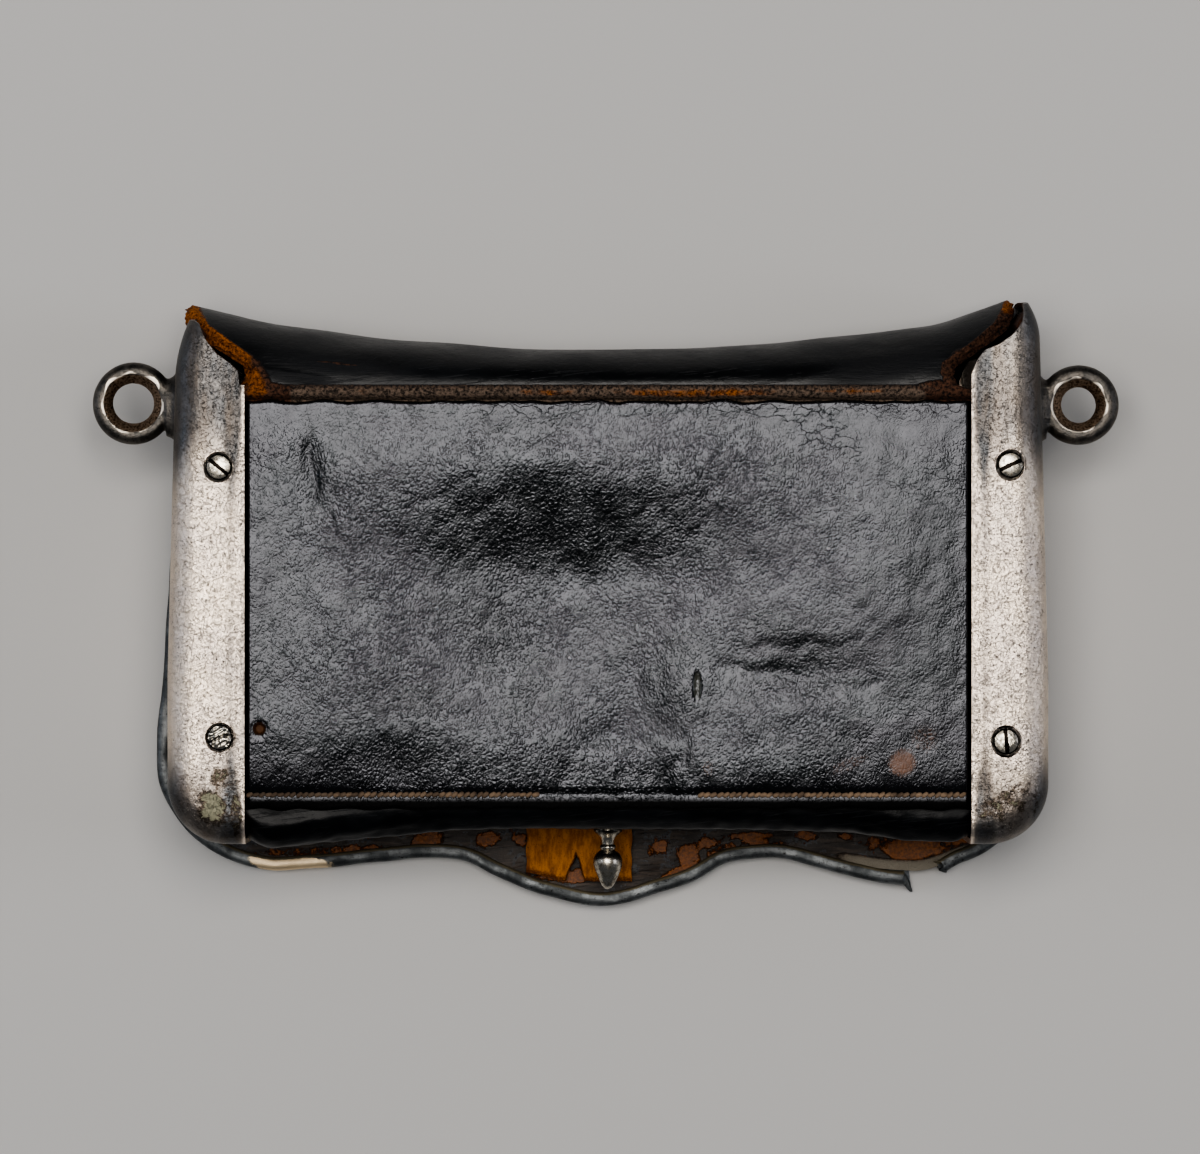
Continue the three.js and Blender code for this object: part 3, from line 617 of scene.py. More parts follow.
black = add(
    tree,
    "Mix",
    {0: add(tree, "MapRange", (broad, 0.35, 0.65), **SOFT), 6: colour(0x101114), 7: colour(0x17191D)},
    **COLOURS,
)
black = add(
    tree,
    "Mix",
    {0: add(tree, "Math", (furrows, 0.5), operation="MULTIPLY"), 6: colour(0x08080A), 7: black},
    **COLOURS,
)
specks = add(
    tree,
    "MapRange",
    (
        add(tree, "TexNoise", {"Vector": place, "Scale": 1.1, "Detail": 3.0, "Roughness": 0.6}),
        0.70,
        0.76,
    ),
    **SOFT,
)
black = add(
    tree,
    "Mix",
    {0: add(tree, "Math", (specks, 0.5), operation="MULTIPLY"), 6: black, 7: colour(0x3A2A20)},
    **COLOURS,
)
tan = add(tree, "Mix", {0: middling, 6: colour(0x8E6448), 7: colour(0x5E4230)}, **COLOURS)
face = add(tree, "Mix", {0: bare_mask, 6: black, 7: tan}, **COLOURS)
face = add(
    tree,
    "Mix",
    {0: add(tree, "MapRange", (cracks, 0.3, 0.8, 0.0, 0.8), **SOFT), 6: face, 7: colour(0x030303)},
    **COLOURS,
)
face = add(
    tree,
    "Mix",
    {0: add(tree, "Attribute", attribute_name="gouge", output=FACTOR), 6: face, 7: colour(0x3E3E34)},
    **COLOURS,
)
face = add(
    tree,
    "Mix",
    {0: add(tree, "Attribute", attribute_name="hole", output=FACTOR), 6: face, 7: colour(0x5E3C1A)},
    **COLOURS,
)
face = add(
    tree,
    "Mix",
    {
        0: add(
            tree,
            "MapRange",
            (add(tree, "Attribute", attribute_name="edge", output=FACTOR), 0.75, 1.0),
            **SOFT,
        ),
        6: face,
        7: colour(0x14100D),
    },
    **COLOURS,
)

shine = add(
    tree,
    "Math",
    (bare_mask, 0.22, add(tree, "MapRange", (middling, 0.3, 0.7, 0.20, 0.28), **SOFT)),
    operation="MULTIPLY_ADD",
)
shine = add(
    tree,
    "Math",
    (add(tree, "Attribute", attribute_name="polish", output=FACTOR), -0.05, shine),
    operation="MULTIPLY_ADD",
)
shine = add(
    tree,
    "Math",
    (add(tree, "Attribute", attribute_name="hole", output=FACTOR), 0.5, shine),
    operation="MULTIPLY_ADD",
)

grain_height = add(
    tree,
    "Math",
    (furrows, add(tree, "MapRange", (broad, 0.3, 0.7, 0.45, 0.8), **SOFT)),
    operation="MULTIPLY",
)
grain_height = add(
    tree,
    "Math",
    (grain_height, add(tree, "Attribute", attribute_name="grain", output=FACTOR)),
    operation="MULTIPLY",
)
height = add(tree, "Math", (fine, 0.35, grain_height), operation="MULTIPLY_ADD")
height = add(tree, "Math", (middling, 2.4, height), operation="MULTIPLY_ADD")
height = add(tree, "Math", (cracks, -0.8, height), operation="MULTIPLY_ADD")
height = add(tree, "Math", (scratches, -0.5, height), operation="MULTIPLY_ADD")
bump = add(tree, "Bump", {"Height": height, "Strength": 1.0, "Distance": 0.06 * MM})
leather = add(
    tree,
    "BsdfPrincipled",
    {
        "Base Color": face,
        "Roughness": shine,
        "Normal": bump,
        "IOR": 1.5,
        "Specular IOR Level": 0.70,
        "Specular Tint": colour(0xEBEEF7),
    },
)
# Painted shade: where 'low' is set, along the panel's rolled bottom edge, this nearly black, dull shader
# replaces the leather and keeps the strip dark.
painted_shade_leather = add(
    tree,
    "BsdfPrincipled",
    {"Base Color": colour(0x050505), "Roughness": 0.6, "Normal": bump, "Specular IOR Level": 0.12},
)
finish_with(
    tree,
    add(
        tree,
        "MixShader",
        {0: add(tree, "Attribute", attribute_name="low", output=FACTOR), 1: leather, 2: painted_shade_leather},
    ),
)

add_piece(
    "back_panel_hide", panel_mesh, black_grained, ["back_panel"], crisp=60
)

# %% [markdown]
# ## Side plates
#
# Each end is a cap of sheet silver-plated metal that wraps over the pouch: a flange on the back, an
# end, and a flange on the front, with cushioned edges. The surface follows the cap's outline from the
# lower corner up the side, and at each station one line runs from the inner edge of the back flange,
# over the rounding, down the end and round to the front. The top edge is cut to the height that the
# maker gave it, and under the flap's roll it is cut to the roll.

# %% Shape of the side plates
# Top edge of the flanges: distance from the inner edge, height left, height right.
PLATE_TOP = np.array(
    [
        (-4, 40.0, 40.8),
        (0, 40.4, 41.4),
        (1, 41.9, 44.1),
        (2.4, 43.3, 45.9),
        (5, 45.2, 46.9),
        (7.5, 48.0, 48.7),
        (9.4, 50.4, 50.8),
        (10.8, 51.0, 54.0),
        (16, 51.0, 54.4),
    ]
)

# Half length of the roll at an angle from the back (0) over the crest (90) to the front (180), and how
# far its worn, slanting cut edge reaches in.
ROLL_WIDTH = np.array(
    [
        (0, 64.8, 1.2),
        (10, 64.0, 2.2),
        (20, 64.5, 2.4),
        (30, 67.8, 2.4),
        (40, 71.2, 2.4),
        (50, 74.2, 2.2),
        (65, 75.4, 1.8),
        (90, 76.0, 1.2),
        (180, 77.0, 0),
    ]
)
TRIM = 0.4
# A side: which way it lies, its ring, its column in PLATE_TOP, and where and how far its corner curls in.
SIDES = {
    "left": {
        "sign": -1, "ring_x": 86.8, "ring_y": 36.8, "outer": 7.5, "hole": 3.8, "top": 1,
        "curl": (40.6, 10.3, 2.1),
    },
    "right": {
        "sign": 1, "ring_x": 86.1, "ring_y": 36.5, "outer": 7.35, "hole": 3.3, "top": 2,
        "curl": (48.0, 6.4, 1.9),
    },
}


def crest(x):
    """Height of the roll's crest: it bows up towards both ends and turns up at the corners."""
    horn = np.where(x < 0, HORN_LEFT, HORN_RIGHT)
    return CREST_MIDDLE + CREST_BOW * x * x + horn * smoothstep(np.abs(x), 58, 76)


def under_roll(x, z):
    """Height of the roll's inner side over a place, or a large number where no roll covers it."""
    depth = FLAP_LEATHER + TRIM
    share = np.clip((z - ROLL_MIDDLE) / (ROLL_DEPTH - depth), -1, 1)
    half = np.interp(np.degrees(np.arccos(share)), ROLL_WIDTH[:, 0], ROLL_WIDTH[:, 1]) + TRIM
    height = HINGE_Y + (crest(x) - HINGE_Y - depth) * np.sqrt(1 - share * share)
    clear = smoothstep(np.abs(x - FLAP_MIDDLE), half - 0.3, half + 0.3)
    return height + 60 * clear


def curl(side, y):
    """How far the top of an end curls in: a parabola that starts at the side's own height."""
    start, high, wide = side["curl"]
    return wide * np.clip((y - start) / high, 0, 1.1) ** 2


def plate_sheet(side, inset):
    """Grid of one surface of a cap, `inset` inside its outer face: stations up the side, lines across.

    Outline: a straight bottom, a quarter circle and the side. Rounding: at an angle a, the surface is
    wide * (1 - sin a) in from the outline and deep * (1 - cos a) down from the flange.
    """
    sign = side["sign"]
    wide, deep = ROUNDING_WIDE - inset, ROUNDING_DEEP - inset
    angle = np.radians(np.linspace(0, 90, 15))
    come_in = inset + wide * (1 - np.sin(angle))
    drop = inset + deep * (1 - np.cos(angle))
    flat = np.linspace(0, 1, 26)[:-1]
    end = np.linspace(0, 1, 15)[1:-1]
    share = np.concatenate([flat, np.ones(30 + end.size), flat[::-1]])
    inward = np.concatenate([np.full(25, come_in[0]), come_in, np.full(end.size, inset), come_in[::-1]])
    inward = np.concatenate([inward, np.full(25, come_in[0])])
    high, low = PLATE_BACK - ROUNDING_DEEP, PLATE_FRONT + ROUNDING_DEEP
    depth = np.concatenate([np.full(25, PLATE_BACK - inset), PLATE_BACK - drop])
    depth = np.concatenate([depth, high + (low - high) * end, PLATE_FRONT + drop[::-1]])
    depth = np.concatenate([depth, np.full(25, PLATE_FRONT + inset)])

    corner = np.radians(np.linspace(-90, 0, 22))
    straight = np.linspace(0, 1, 5)[:-1]
    centre_x, centre_y = PLATE_END - CORNER_RADIUS, PLATE_BOTTOM + CORNER_RADIUS
    radius = CORNER_RADIUS - inward
    low_x = PLATE_INNER + (centre_x - PLATE_INNER) * straight[:, None] + 0 * inward
    low_y = PLATE_BOTTOM + inward + 0 * low_x
    arc_x = centre_x + radius * np.cos(corner)[:, None]
    arc_y = centre_y + radius * np.sin(corner)[:, None]
    x = np.concatenate([low_x, arc_x])
    y = np.concatenate([low_y, arc_y])
    x = x - np.where(x > PLATE_INNER, lean(y), 0) * np.clip((x - PLATE_INNER) / 2, 0, 1)
    anchor = PLATE_BOTTOM + come_in[0] + (CORNER_RADIUS - come_in[0]) * np.linspace(0, 1, len(x))[:, None]
    x = PLATE_INNER + (x - PLATE_INNER) * share
    y = anchor + (y - anchor) * share

    up = np.linspace(0, 1, 120)[1:, None] ** 0.92
    table = (PLATE_TOP[:, 0], PLATE_TOP[:, side["top"]])
    top_y = np.full(inward.shape, 48.0)
    for _ in range(CUT_STEPS):
        top_x = PLATE_INNER + (PLATE_END - lean(top_y) - inward - PLATE_INNER) * share
        arch = PLATE_ARCH * np.maximum(0, 1 - ((depth - MIDDLE_DEPTH) / (MIDDLE_DEPTH - PLATE_FRONT)) ** 2)
        cut = np.interp(top_x - PLATE_INNER, *table) + arch
        cut = np.minimum(cut, under_roll(sign * top_x, depth))
        top_y = top_y + 0.6 * (cut - top_y)
    side_y = centre_y + (top_y - centre_y) * up
    side_x = PLATE_INNER + (PLATE_END - lean(side_y) - inward - PLATE_INNER) * share
    x, y = np.concatenate([x, side_x]), np.concatenate([y, side_y])
    x = x - curl(side, y) * smoothstep(x - PLATE_INNER, 4.0, 13.0)
    return sign * x, y, depth + 0 * x


def plate_shell(side):
    """The outer and inner face of a cap, a sheet's thickness apart, with its soft dings added."""
    x, y, z = plate_sheet(side, 0.0)
    in_x, in_y, in_z = plate_sheet(side, METAL)
    ding = 0.07 * waves(x * 1.4, y * 0.6, 17.0, 21) + 0.04 * waves(x, y, 6.0, 22)
    crown = 0.55 * (1 - np.clip((np.abs(x) - PLATE_INNER) / 5.0, 0, 1)) ** 2
    on_back = smoothstep(z, 30, 36)
    z = z + (ding - crown) * on_back
    in_z = in_z + (ding - crown) * on_back
    return stack(x, y, z), stack(in_x, in_y, in_z)


# %% [markdown]
# ## Carrying rings
#
# Rings and necks are cast and soldered to the ends. A ring is a circle carried round a circle, and the
# neck is a short stem turned on the lathe with a flared foot, pressed to an oval. A voxel remesh melts
# ring, neck and foot into one lump with soft fillets, as solder does, and smoothing takes off the steps.

# %% Shape of the rings
RING_THICK = 3.8
NECK_BASE = 7.4
NECK_SQUEEZE = 0.43
MELT_OPENS = 0.15  # how much melting would widen a hole


def ring_points(side):
    """A torus, rounded outside and conical inside, its width wavering a little as cast metal does."""
    around = np.linspace(0, 2 * np.pi, 97)[:-1][:, None]
    section = np.linspace(0, 2 * np.pi, 41)[:-1][None]
    inner = side["hole"] - MELT_OPENS
    middle = (side["outer"] + inner) / 2
    half_wide = (side["outer"] - inner) / 2 + 0.05 * np.sin(2 * around + side["sign"])
    power = np.where(np.cos(section) < 0, 1.45, 0.92)
    out = np.sign(np.cos(section)) * np.abs(np.cos(section)) ** power * half_wide
    rise = np.sign(np.sin(section)) * np.abs(np.sin(section)) ** power * RING_THICK / 2
    radius = middle + out
    x = side["sign"] * side["ring_x"] + radius * np.cos(around)
    y = side["ring_y"] + radius * np.sin(around)
    return stack(x, y, MIDDLE_DEPTH + rise)


def closed_torus(points):
    """Points and quads of a grid that meets itself both ways."""
    numbers = np.arange(points.shape[0] * points.shape[1]).reshape(points.shape[:2])
    numbers = np.pad(numbers, ((0, 1), (0, 1)), mode="wrap")
    return points.reshape(-1, 3), cells(numbers)


def lathe(outline, sides):
    """Rings of points: each row of the outline, a radius and a height, carried round the Z axis."""
    outline = np.asarray(outline, dtype=float)
    around = np.linspace(0, 2 * np.pi, sides, endpoint=False)
    x = outline[:, :1] * np.cos(around)
    y = outline[:, :1] * np.sin(around)
    return stack(x, y, outline[:, 1:])


def neck_rings(side):
    """The neck's outline turned round its stem, squeezed in depth and laid along X towards the ring."""
    foot = PLATE_END - lean(side["ring_y"]) - METAL / 2
    reach = side["ring_x"] - side["outer"] + 0.9 - foot
    rows = [(0.01, 0.0), (NECK_BASE, 0.0), (NECK_BASE, 0.7), (6.8, 1.1), (6.0, 1.5), (5.6, 2.0)]
    rows += [(5.4, 2.5), (5.3, reach + 0.6), (0.01, reach + 0.6)]
    turned = lathe(rows, 48)
    x = side["sign"] * (foot + turned[..., 2])
    y = side["ring_y"] - 0.8 + turned[..., 0]
    z = MIDDLE_DEPTH + turned[..., 1] * NECK_SQUEEZE
    return stack(x, y, z)


def melted(name, points, quads, voxel=0.28, smoothing=4):
    """Melts overlapping closed shapes into one surface, and gives back its points and quads."""
    mesh = make_mesh(name, points, quads)
    lump = bpy.data.objects.new(name, mesh)
    bpy.context.scene.collection.objects.link(lump)
    remesh = lump.modifiers.new("melt", "REMESH")
    remesh.mode = "VOXEL"
    remesh.voxel_size = voxel * MM
    smooth = lump.modifiers.new("smooth", "SMOOTH")
    smooth.factor = 0.5
    smooth.iterations = smoothing
    made = lump.evaluated_get(bpy.context.evaluated_depsgraph_get()).to_mesh()
    out = np.empty(len(made.vertices) * 3)
    made.vertices.foreach_get("co", out)
    faces = np.array([tuple(face.vertices) for face in made.polygons])
    bpy.data.objects.remove(lump)
    return out.reshape(-1, 3) / MM - SHIFT, faces


def carrying_ring(side_name):
    """The ring and its neck, melted together."""
    side = SIDES[side_name]
    parts = [closed_torus(ring_points(side)), loft(neck_rings(side))]
    return melted("ring_" + side_name, *join(parts))


# %% Screw holes in the plates
# Screws: x, y, slot direction in degrees, slot depth, and how corroded the head is.
SCREWS = {
    "screw_left_top": (-70.0, 24.8, -40, 0.6, 0.1),
    "screw_left_bottom": (-69.8, -23.8, 20, 0.12, 1.0),
    "screw_right_top": (72.4, 25.2, 25, 0.6, 0.0),
    "screw_right_bottom": (71.6, -24.5, 95, 0.5, 0.2),
}
SCREW_HEAD, COUNTERSINK = 2.3, 2.9


def cut_countersinks(plate, side_name):
    """Cuts a conical seat for each screw out of the back flange."""
    cutters = []
    for name, (x, y, *_) in SCREWS.items():
        if side_name not in name:
            continue
        rows = [(0.01, -3), (1.6, -3), (1.6, -METAL), (COUNTERSINK, 0.05), (COUNTERSINK + 0.1, 2), (0.01, 2)]
        rings = lathe(rows, 64) + [x, y, PLATE_BACK]
        cutters.append(loft(rings))
    mesh = make_mesh("countersinks", *join(cutters))
    cutter = bpy.data.objects.new("countersinks", mesh)
    bpy.context.scene.collection.objects.link(cutter)
    cut = plate.modifiers.new("countersinks", "BOOLEAN")
    cut.operation = "DIFFERENCE"
    cut.solver = "EXACT"
    cut.object = cutter
    made = bpy.data.meshes.new_from_object(plate.evaluated_get(bpy.context.evaluated_depsgraph_get()))
    plate.modifiers.clear()
    plate.data = made
    bpy.data.objects.remove(cutter)


# %% [markdown]
# ## Silvered metal, tarnished and polished
#
# The caps are silver plate over a base metal. Polishing keeps the flat middle of each flange bright and
# warm, sulphur tarnish creeps in from the edges as blue-grey and straw tints, and handling leaves fine
# scratches and pits. A metal's colour is the colour of its reflection, so tarnish is a darker, tinted
# base colour with more roughness, mixed in by noise stretched along the plate. The same darker colour
# also carries painted shade: it is laid towards the top and bottom of each cap, in a band near the
# flange's inner edge and over the outer rounding, while a thin line right at the inner edge is kept
# bright as a painted highlight.

# %% Silvered metal
silvered, tree = new_material("silver_plate_tarnished_and_polished")
place = millimetres(tree)
streaks = add(
    tree,
    "TexNoise",
    {
        "Vector": add(tree, "Mapping", {"Vector": place, "Scale": (0.35, 0.07, 0.35)}),
        "Scale": 1.0,
        "Detail": 6.0,
        "Roughness": 0.62,
    },
)
cloud = add(tree, "TexNoise", {"Vector": place, "Scale": 0.12, "Detail": 5.0, "Roughness": 0.6})
mottle = add(tree, "TexNoise", {"Vector": place, "Scale": 0.9, "Detail": 6.0, "Roughness": 0.7})
pits = add(
    tree,
    "MapRange",
    (
        add(tree, "TexNoise", {"Vector": place, "Scale": 2.4, "Detail": 3.0, "Roughness": 0.6}),
        0.60,
        0.68,
    ),
    **SOFT,
)
pits = add(
    tree,
    "Math",
    (pits, add(tree, "MapRange", (cloud, 0.40, 0.62, 0.15, 1.0), **SOFT)),
    operation="MULTIPLY",
)
curl_noise = add(tree, "TexNoise", {"Vector": place, "Scale": 1.5, "Detail": 3.0, "Roughness": 0.6})
curls = add(
    tree,
    "Math",
    (
        add(tree, "MapRange", (curl_noise, 0.455, 0.49), **SOFT),
        add(tree, "MapRange", (curl_noise, 0.49, 0.525), **SOFT),
    ),
    operation="SUBTRACT",
)
curls = add(
    tree, "Math", (curls, add(tree, "MapRange", (mottle, 0.40, 0.60), **SOFT)), operation="MULTIPLY"
)
scratches = scratches_of(tree, place, 0.35, 5.0, 5.0, 0.66)
scratches = add(
    tree, "Math", (scratches, scratches_of(tree, place, 1.45, 6.0, 4.5, 0.66)), operation="MAXIMUM"
)

uneven = add(
    tree,
    "Math",
    (streaks, 0.3, add(tree, "Math", (mottle, 0.18), operation="MULTIPLY")),
    operation="MULTIPLY_ADD",
)
uneven = add(tree, "Math", (cloud, 0.25, uneven), operation="MULTIPLY_ADD")
uneven = add(tree, "Math", (uneven, 0.42), operation="SUBTRACT")
# The tarnish mask also carries painted shade at the caps' top, bottom and edges, and a painted highlight
# along the inner edge.
shade_and_tarnish_mask = add(
    tree,
    "Math",
    (add(tree, "Attribute", attribute_name="tarnish_and_shade", output=FACTOR), uneven),
    operation="ADD",
)
shade_and_tarnish_mask = add(tree, "MapRange", (shade_and_tarnish_mask, 0.0, 1.0), **SOFT)

bright = add(
    tree,
    "Mix",
    {0: add(tree, "MapRange", (cloud, 0.35, 0.65), **SOFT), 6: colour(0xF6E6D4), 7: colour(0xEDDFD2)},
    **COLOURS,
)
tarnish_and_shade = add(
    tree,
    "Mix",
    {0: add(tree, "MapRange", (streaks, 0.30, 0.74), **SOFT), 6: colour(0x5E6164), 7: colour(0x6C645D)},
    **COLOURS,
)
metal = add(tree, "Mix", {0: shade_and_tarnish_mask, 6: bright, 7: tarnish_and_shade}, **COLOURS)
# Darker round the foot of each ring's neck, and a painted shade in the screws' countersunk seats.
metal = add(
    tree,
    "Mix",
    {
        0: add(
            tree,
            "MapRange",
            (add(tree, "Attribute", attribute_name="dark_foot_and_seat_shade", output=FACTOR), 0.3, 0.9),
            **SOFT,
        ),
        6: metal,
        7: colour(0x38322C),
    },
    **COLOURS,
)
metal = add(
    tree,
    "Mix",
    {0: add(tree, "Math", (pits, 0.7), operation="MULTIPLY"), 6: metal, 7: colour(0x3C3733)},
    **COLOURS,
)
metal = add(
    tree,
    "Mix",
    {
        0: add(
            tree,
            "Math",
            (curls, add(tree, "MapRange", (shade_and_tarnish_mask, 0.15, 0.5, 0.32, 0.05), **SOFT)),
            operation="MULTIPLY",
        ),
        6: metal,
        7: colour(0x57504A),
    },
    **COLOURS,
)
metal = add(
    tree,
    "Mix",
    {0: add(tree, "Math", (scratches, 0.35), operation="MULTIPLY"), 6: metal, 7: colour(0x6E6862)},
    **COLOURS,
)
stain_noise = add(tree, "TexNoise", {"Vector": place, "Scale": 0.6, "Detail": 6.0, "Roughness": 0.7})
stain_sum = add(
    tree,
    "Math",
    (stain_noise, 1.6, add(tree, "Attribute", attribute_name="stain", output=FACTOR)),
    operation="MULTIPLY_ADD",
)
stain = add(tree, "MapRange", (stain_sum, 1.22, 1.34), **SOFT)
metal = add(
    tree,
    "Mix",
    {0: add(tree, "MapRange", (stain_sum, 0.95, 1.25), **SOFT), 6: metal, 7: colour(0x453C34)},
    **COLOURS,
)
metal = add(tree, "Mix", {0: stain, 6: metal, 7: colour(0x94927F)}, **COLOURS)
rough = add(tree, "MapRange", (shade_and_tarnish_mask, 0.0, 1.0, 0.30, 0.38), **SOFT)
rough = add(tree, "Math", (stain, 0.22, rough), operation="MULTIPLY_ADD")
height = add(
    tree,
    "Math",
    (cloud, 1.0, add(tree, "Math", (mottle, 1.0), operation="MULTIPLY")),
    operation="MULTIPLY_ADD",
)
height = add(tree, "Math", (pits, -0.5, height), operation="MULTIPLY_ADD")
height = add(tree, "Math", (curls, -0.8, height), operation="MULTIPLY_ADD")
height = add(tree, "Math", (scratches, -0.3, height), operation="MULTIPLY_ADD")
height = add(
    tree,
    "Math",
    (
        add(tree, "TexNoise", {"Vector": place, "Scale": 1.8, "Detail": 4.0, "Roughness": 0.6}),
        1.0,
        height,
    ),
    operation="MULTIPLY_ADD",
)
height = add(
    tree,
    "Math",
    (
        height,
        add(
            tree,
            "MapRange",
            (add(tree, "Attribute", attribute_name="tarnish_and_shade", output=FACTOR), 0.2, 0.8, 1.0, 0.6),
            **SOFT,
        ),
    ),
    operation="MULTIPLY",
)
finish_with(tree, surface(tree, metal, rough, height, strength=0.9, depth=0.11, more=METALLIC))

# %% Browned cast metal of the rings
cast, tree = new_material("cast_metal_browned_and_worn")
place = millimetres(tree)
cloud = add(tree, "TexNoise", {"Vector": place, "Scale": 0.5, "Detail": 6.0, "Roughness": 0.7})
grit = add(tree, "TexNoise", {"Vector": place, "Scale": 2.6, "Detail": 5.0, "Roughness": 0.65})
dark = add(
    tree,
    "Mix",
    {0: add(tree, "MapRange", (cloud, 0.40, 0.62), **SOFT), 6: colour(0x5A5855), 7: colour(0x77726C)},
    **COLOURS,
)
cast_colour = add(
    tree,
    "Mix",
    {0: add(tree, "MapRange", (grit, 0.55, 0.72), **SOFT), 6: dark, 7: colour(0x2C2622)},
    **COLOURS,
)
bore = add(
    tree,
    "Math",
    (cloud, 0.5, add(tree, "Attribute", attribute_name="bore", output=FACTOR)),
    operation="MULTIPLY_ADD",
)
bore = add(tree, "MapRange", (bore, 0.60, 1.0), **SOFT)
bore_colour = add(
    tree,
    "Mix",
    {0: add(tree, "MapRange", (grit, 0.42, 0.62), **SOFT), 6: colour(0x9A8672), 7: colour(0x4E3E31)},
    **COLOURS,
)
cast_colour = add(tree, "Mix", {0: bore, 6: cast_colour, 7: bore_colour}, **COLOURS)
worn = add(
    tree,
    "Math",
    (cloud, 0.9, add(tree, "Attribute", attribute_name="worn", output=FACTOR)),
    operation="MULTIPLY_ADD",
)
worn = add(tree, "MapRange", (worn, 1.0, 1.3), **SOFT)
cast_colour = add(tree, "Mix", {0: worn, 6: cast_colour, 7: colour(0xEAE0D2)}, **COLOURS)
cast_colour = add(
    tree,
    "Mix",
    {
        0: add(
            tree,
            "MapRange",
            (add(tree, "Attribute", attribute_name="rust", output=FACTOR), 0.3, 1.0),
            **SOFT,
        ),
        6: cast_colour,
        7: colour(0x3A2A20),
    },
    **COLOURS,
)
cast_rough = add(
    tree,
    "Math",
    (bore, 0.2, add(tree, "MapRange", (cloud, 0.3, 0.7, 0.32, 0.46), **SOFT)),
    operation="MULTIPLY_ADD",
)
cast_height = add(
    tree,
    "Math",
    (grit, 0.6, add(tree, "Math", (cloud, 2.0), operation="MULTIPLY")),
    operation="MULTIPLY_ADD",
)
finish_with(
    tree, surface(tree, cast_colour, cast_rough, cast_height, strength=0.9, depth=0.12, more=METALLIC)
)

# %% Make the side plates
# Stains of the left plate: x, y, half length, half height, direction in degrees, strength.
STAINS = [
    (-71.2, -36.4, 2.8, 3.6, 20, 0.62),
    (-69.0, -31.5, 3.2, 3.0, -30, 0.34),
    (-66.8, -38.0, 1.2, 5.0, 0, 0.34),
]

for side_name, side in SIDES.items():
    over, inner = plate_shell(side)
    points, quads = wall(over, inner)
    x, y, z = np.abs(points[:, 0]), points[:, 1], points[:, 2]
    across = (x - PLATE_INNER) / (PLATE_END - lean(y) - PLATE_INNER)
    # Painted shade mixed with tarnish: darker towards the top and bottom, in a band near the inner edge and
    # over the outer rounding. A thin line at the inner edge is a painted highlight.
    ends = (0.865 - 0.065 * side["sign"]) * smoothstep(y, 13, 36) + 0.80 * smoothstep(-y, 22, 37)
    shade_and_tarnish_bands = 0.55 * np.exp(-(((across - 0.17) / 0.08) ** 2)) + 0.30 * smoothstep(across, 0.72, 0.90)
    painted_edge_highlight = np.exp(-((across / 0.035) ** 2))
    tarnish_and_shade_value = np.clip(ends + shade_and_tarnish_bands, 0, 1) - 0.9 * painted_edge_highlight
    base_mark = np.exp(-((np.hypot((y - side["ring_y"] + 1.5) / 8.0, (z - MIDDLE_DEPTH) / 9)) ** 4))
    # Painted shade: a dark ring in the countersunk seat round each screw head.
    seat_shade = sum(
        np.exp(-((np.maximum(0, np.hypot(points[:, 0] - screw[0], y - screw[1]) - 2.6) / 0.55) ** 2))
        for screw in SCREWS.values()
    )
    values = {
        "tarnish_and_shade": tarnish_and_shade_value,
        "dark_foot_and_seat_shade": base_mark * smoothstep(x, 74.5, 76.5) * 0.9 + 0.75 * seat_shade,
        "stain": patches(points[:, 0], y, STAINS),
    }
    if side["sign"] > 0:
        values["stain"] = 0.3 * patches(points[:, 0], y, [(72.0, -36.0, 7.0, 4.0, 20, 1.0)])
    plate_mesh = make_mesh("plate_" + side_name, points, quads, values)
    plate = add_piece(
        f"side_plate_{side_name}_silvered",
        plate_mesh,
        silvered,
        [f"side_plate_{side_name}"],
    )
    cut_countersinks(plate, side_name)
    ring_points_made, ring_quads = carrying_ring(side_name)
    x, y, z = ring_points_made.T
    from_x, from_y = x - side["sign"] * side["ring_x"], y - side["ring_y"]
    far = np.hypot(from_x, from_y) - side["hole"]
    wander = waves(from_x, from_y, 5.0, 36)
    ring_values = {
        "bore": 1 - smoothstep(far, 1.2, 1.7),
        "worn": np.exp(-((far - 1.65 - 0.2 * wander) / 0.3) ** 2) * (z > MIDDLE_DEPTH) * (
            0.9 + 0.4 * wander
        ),
        "rust": 1 - smoothstep(np.abs(x), 78.0, 79.4),
    }
    ring_mesh = make_mesh("ring_" + side_name, ring_points_made, ring_quads, ring_values)
    add_piece(f"ring_{side_name}_cast", ring_mesh, cast, [], crisp=70)

# %% [markdown]
# ## Screws
#
# Four countersunk screws hold the back flanges, two at each end. A head is a low dome with a sawn slot,
# and decades of wrong screwdrivers have bruised it. The dome is a height worked out over a disc: a
# square grid is pushed out into a disc whose lines run along the slot, so the slot's walls stay straight.


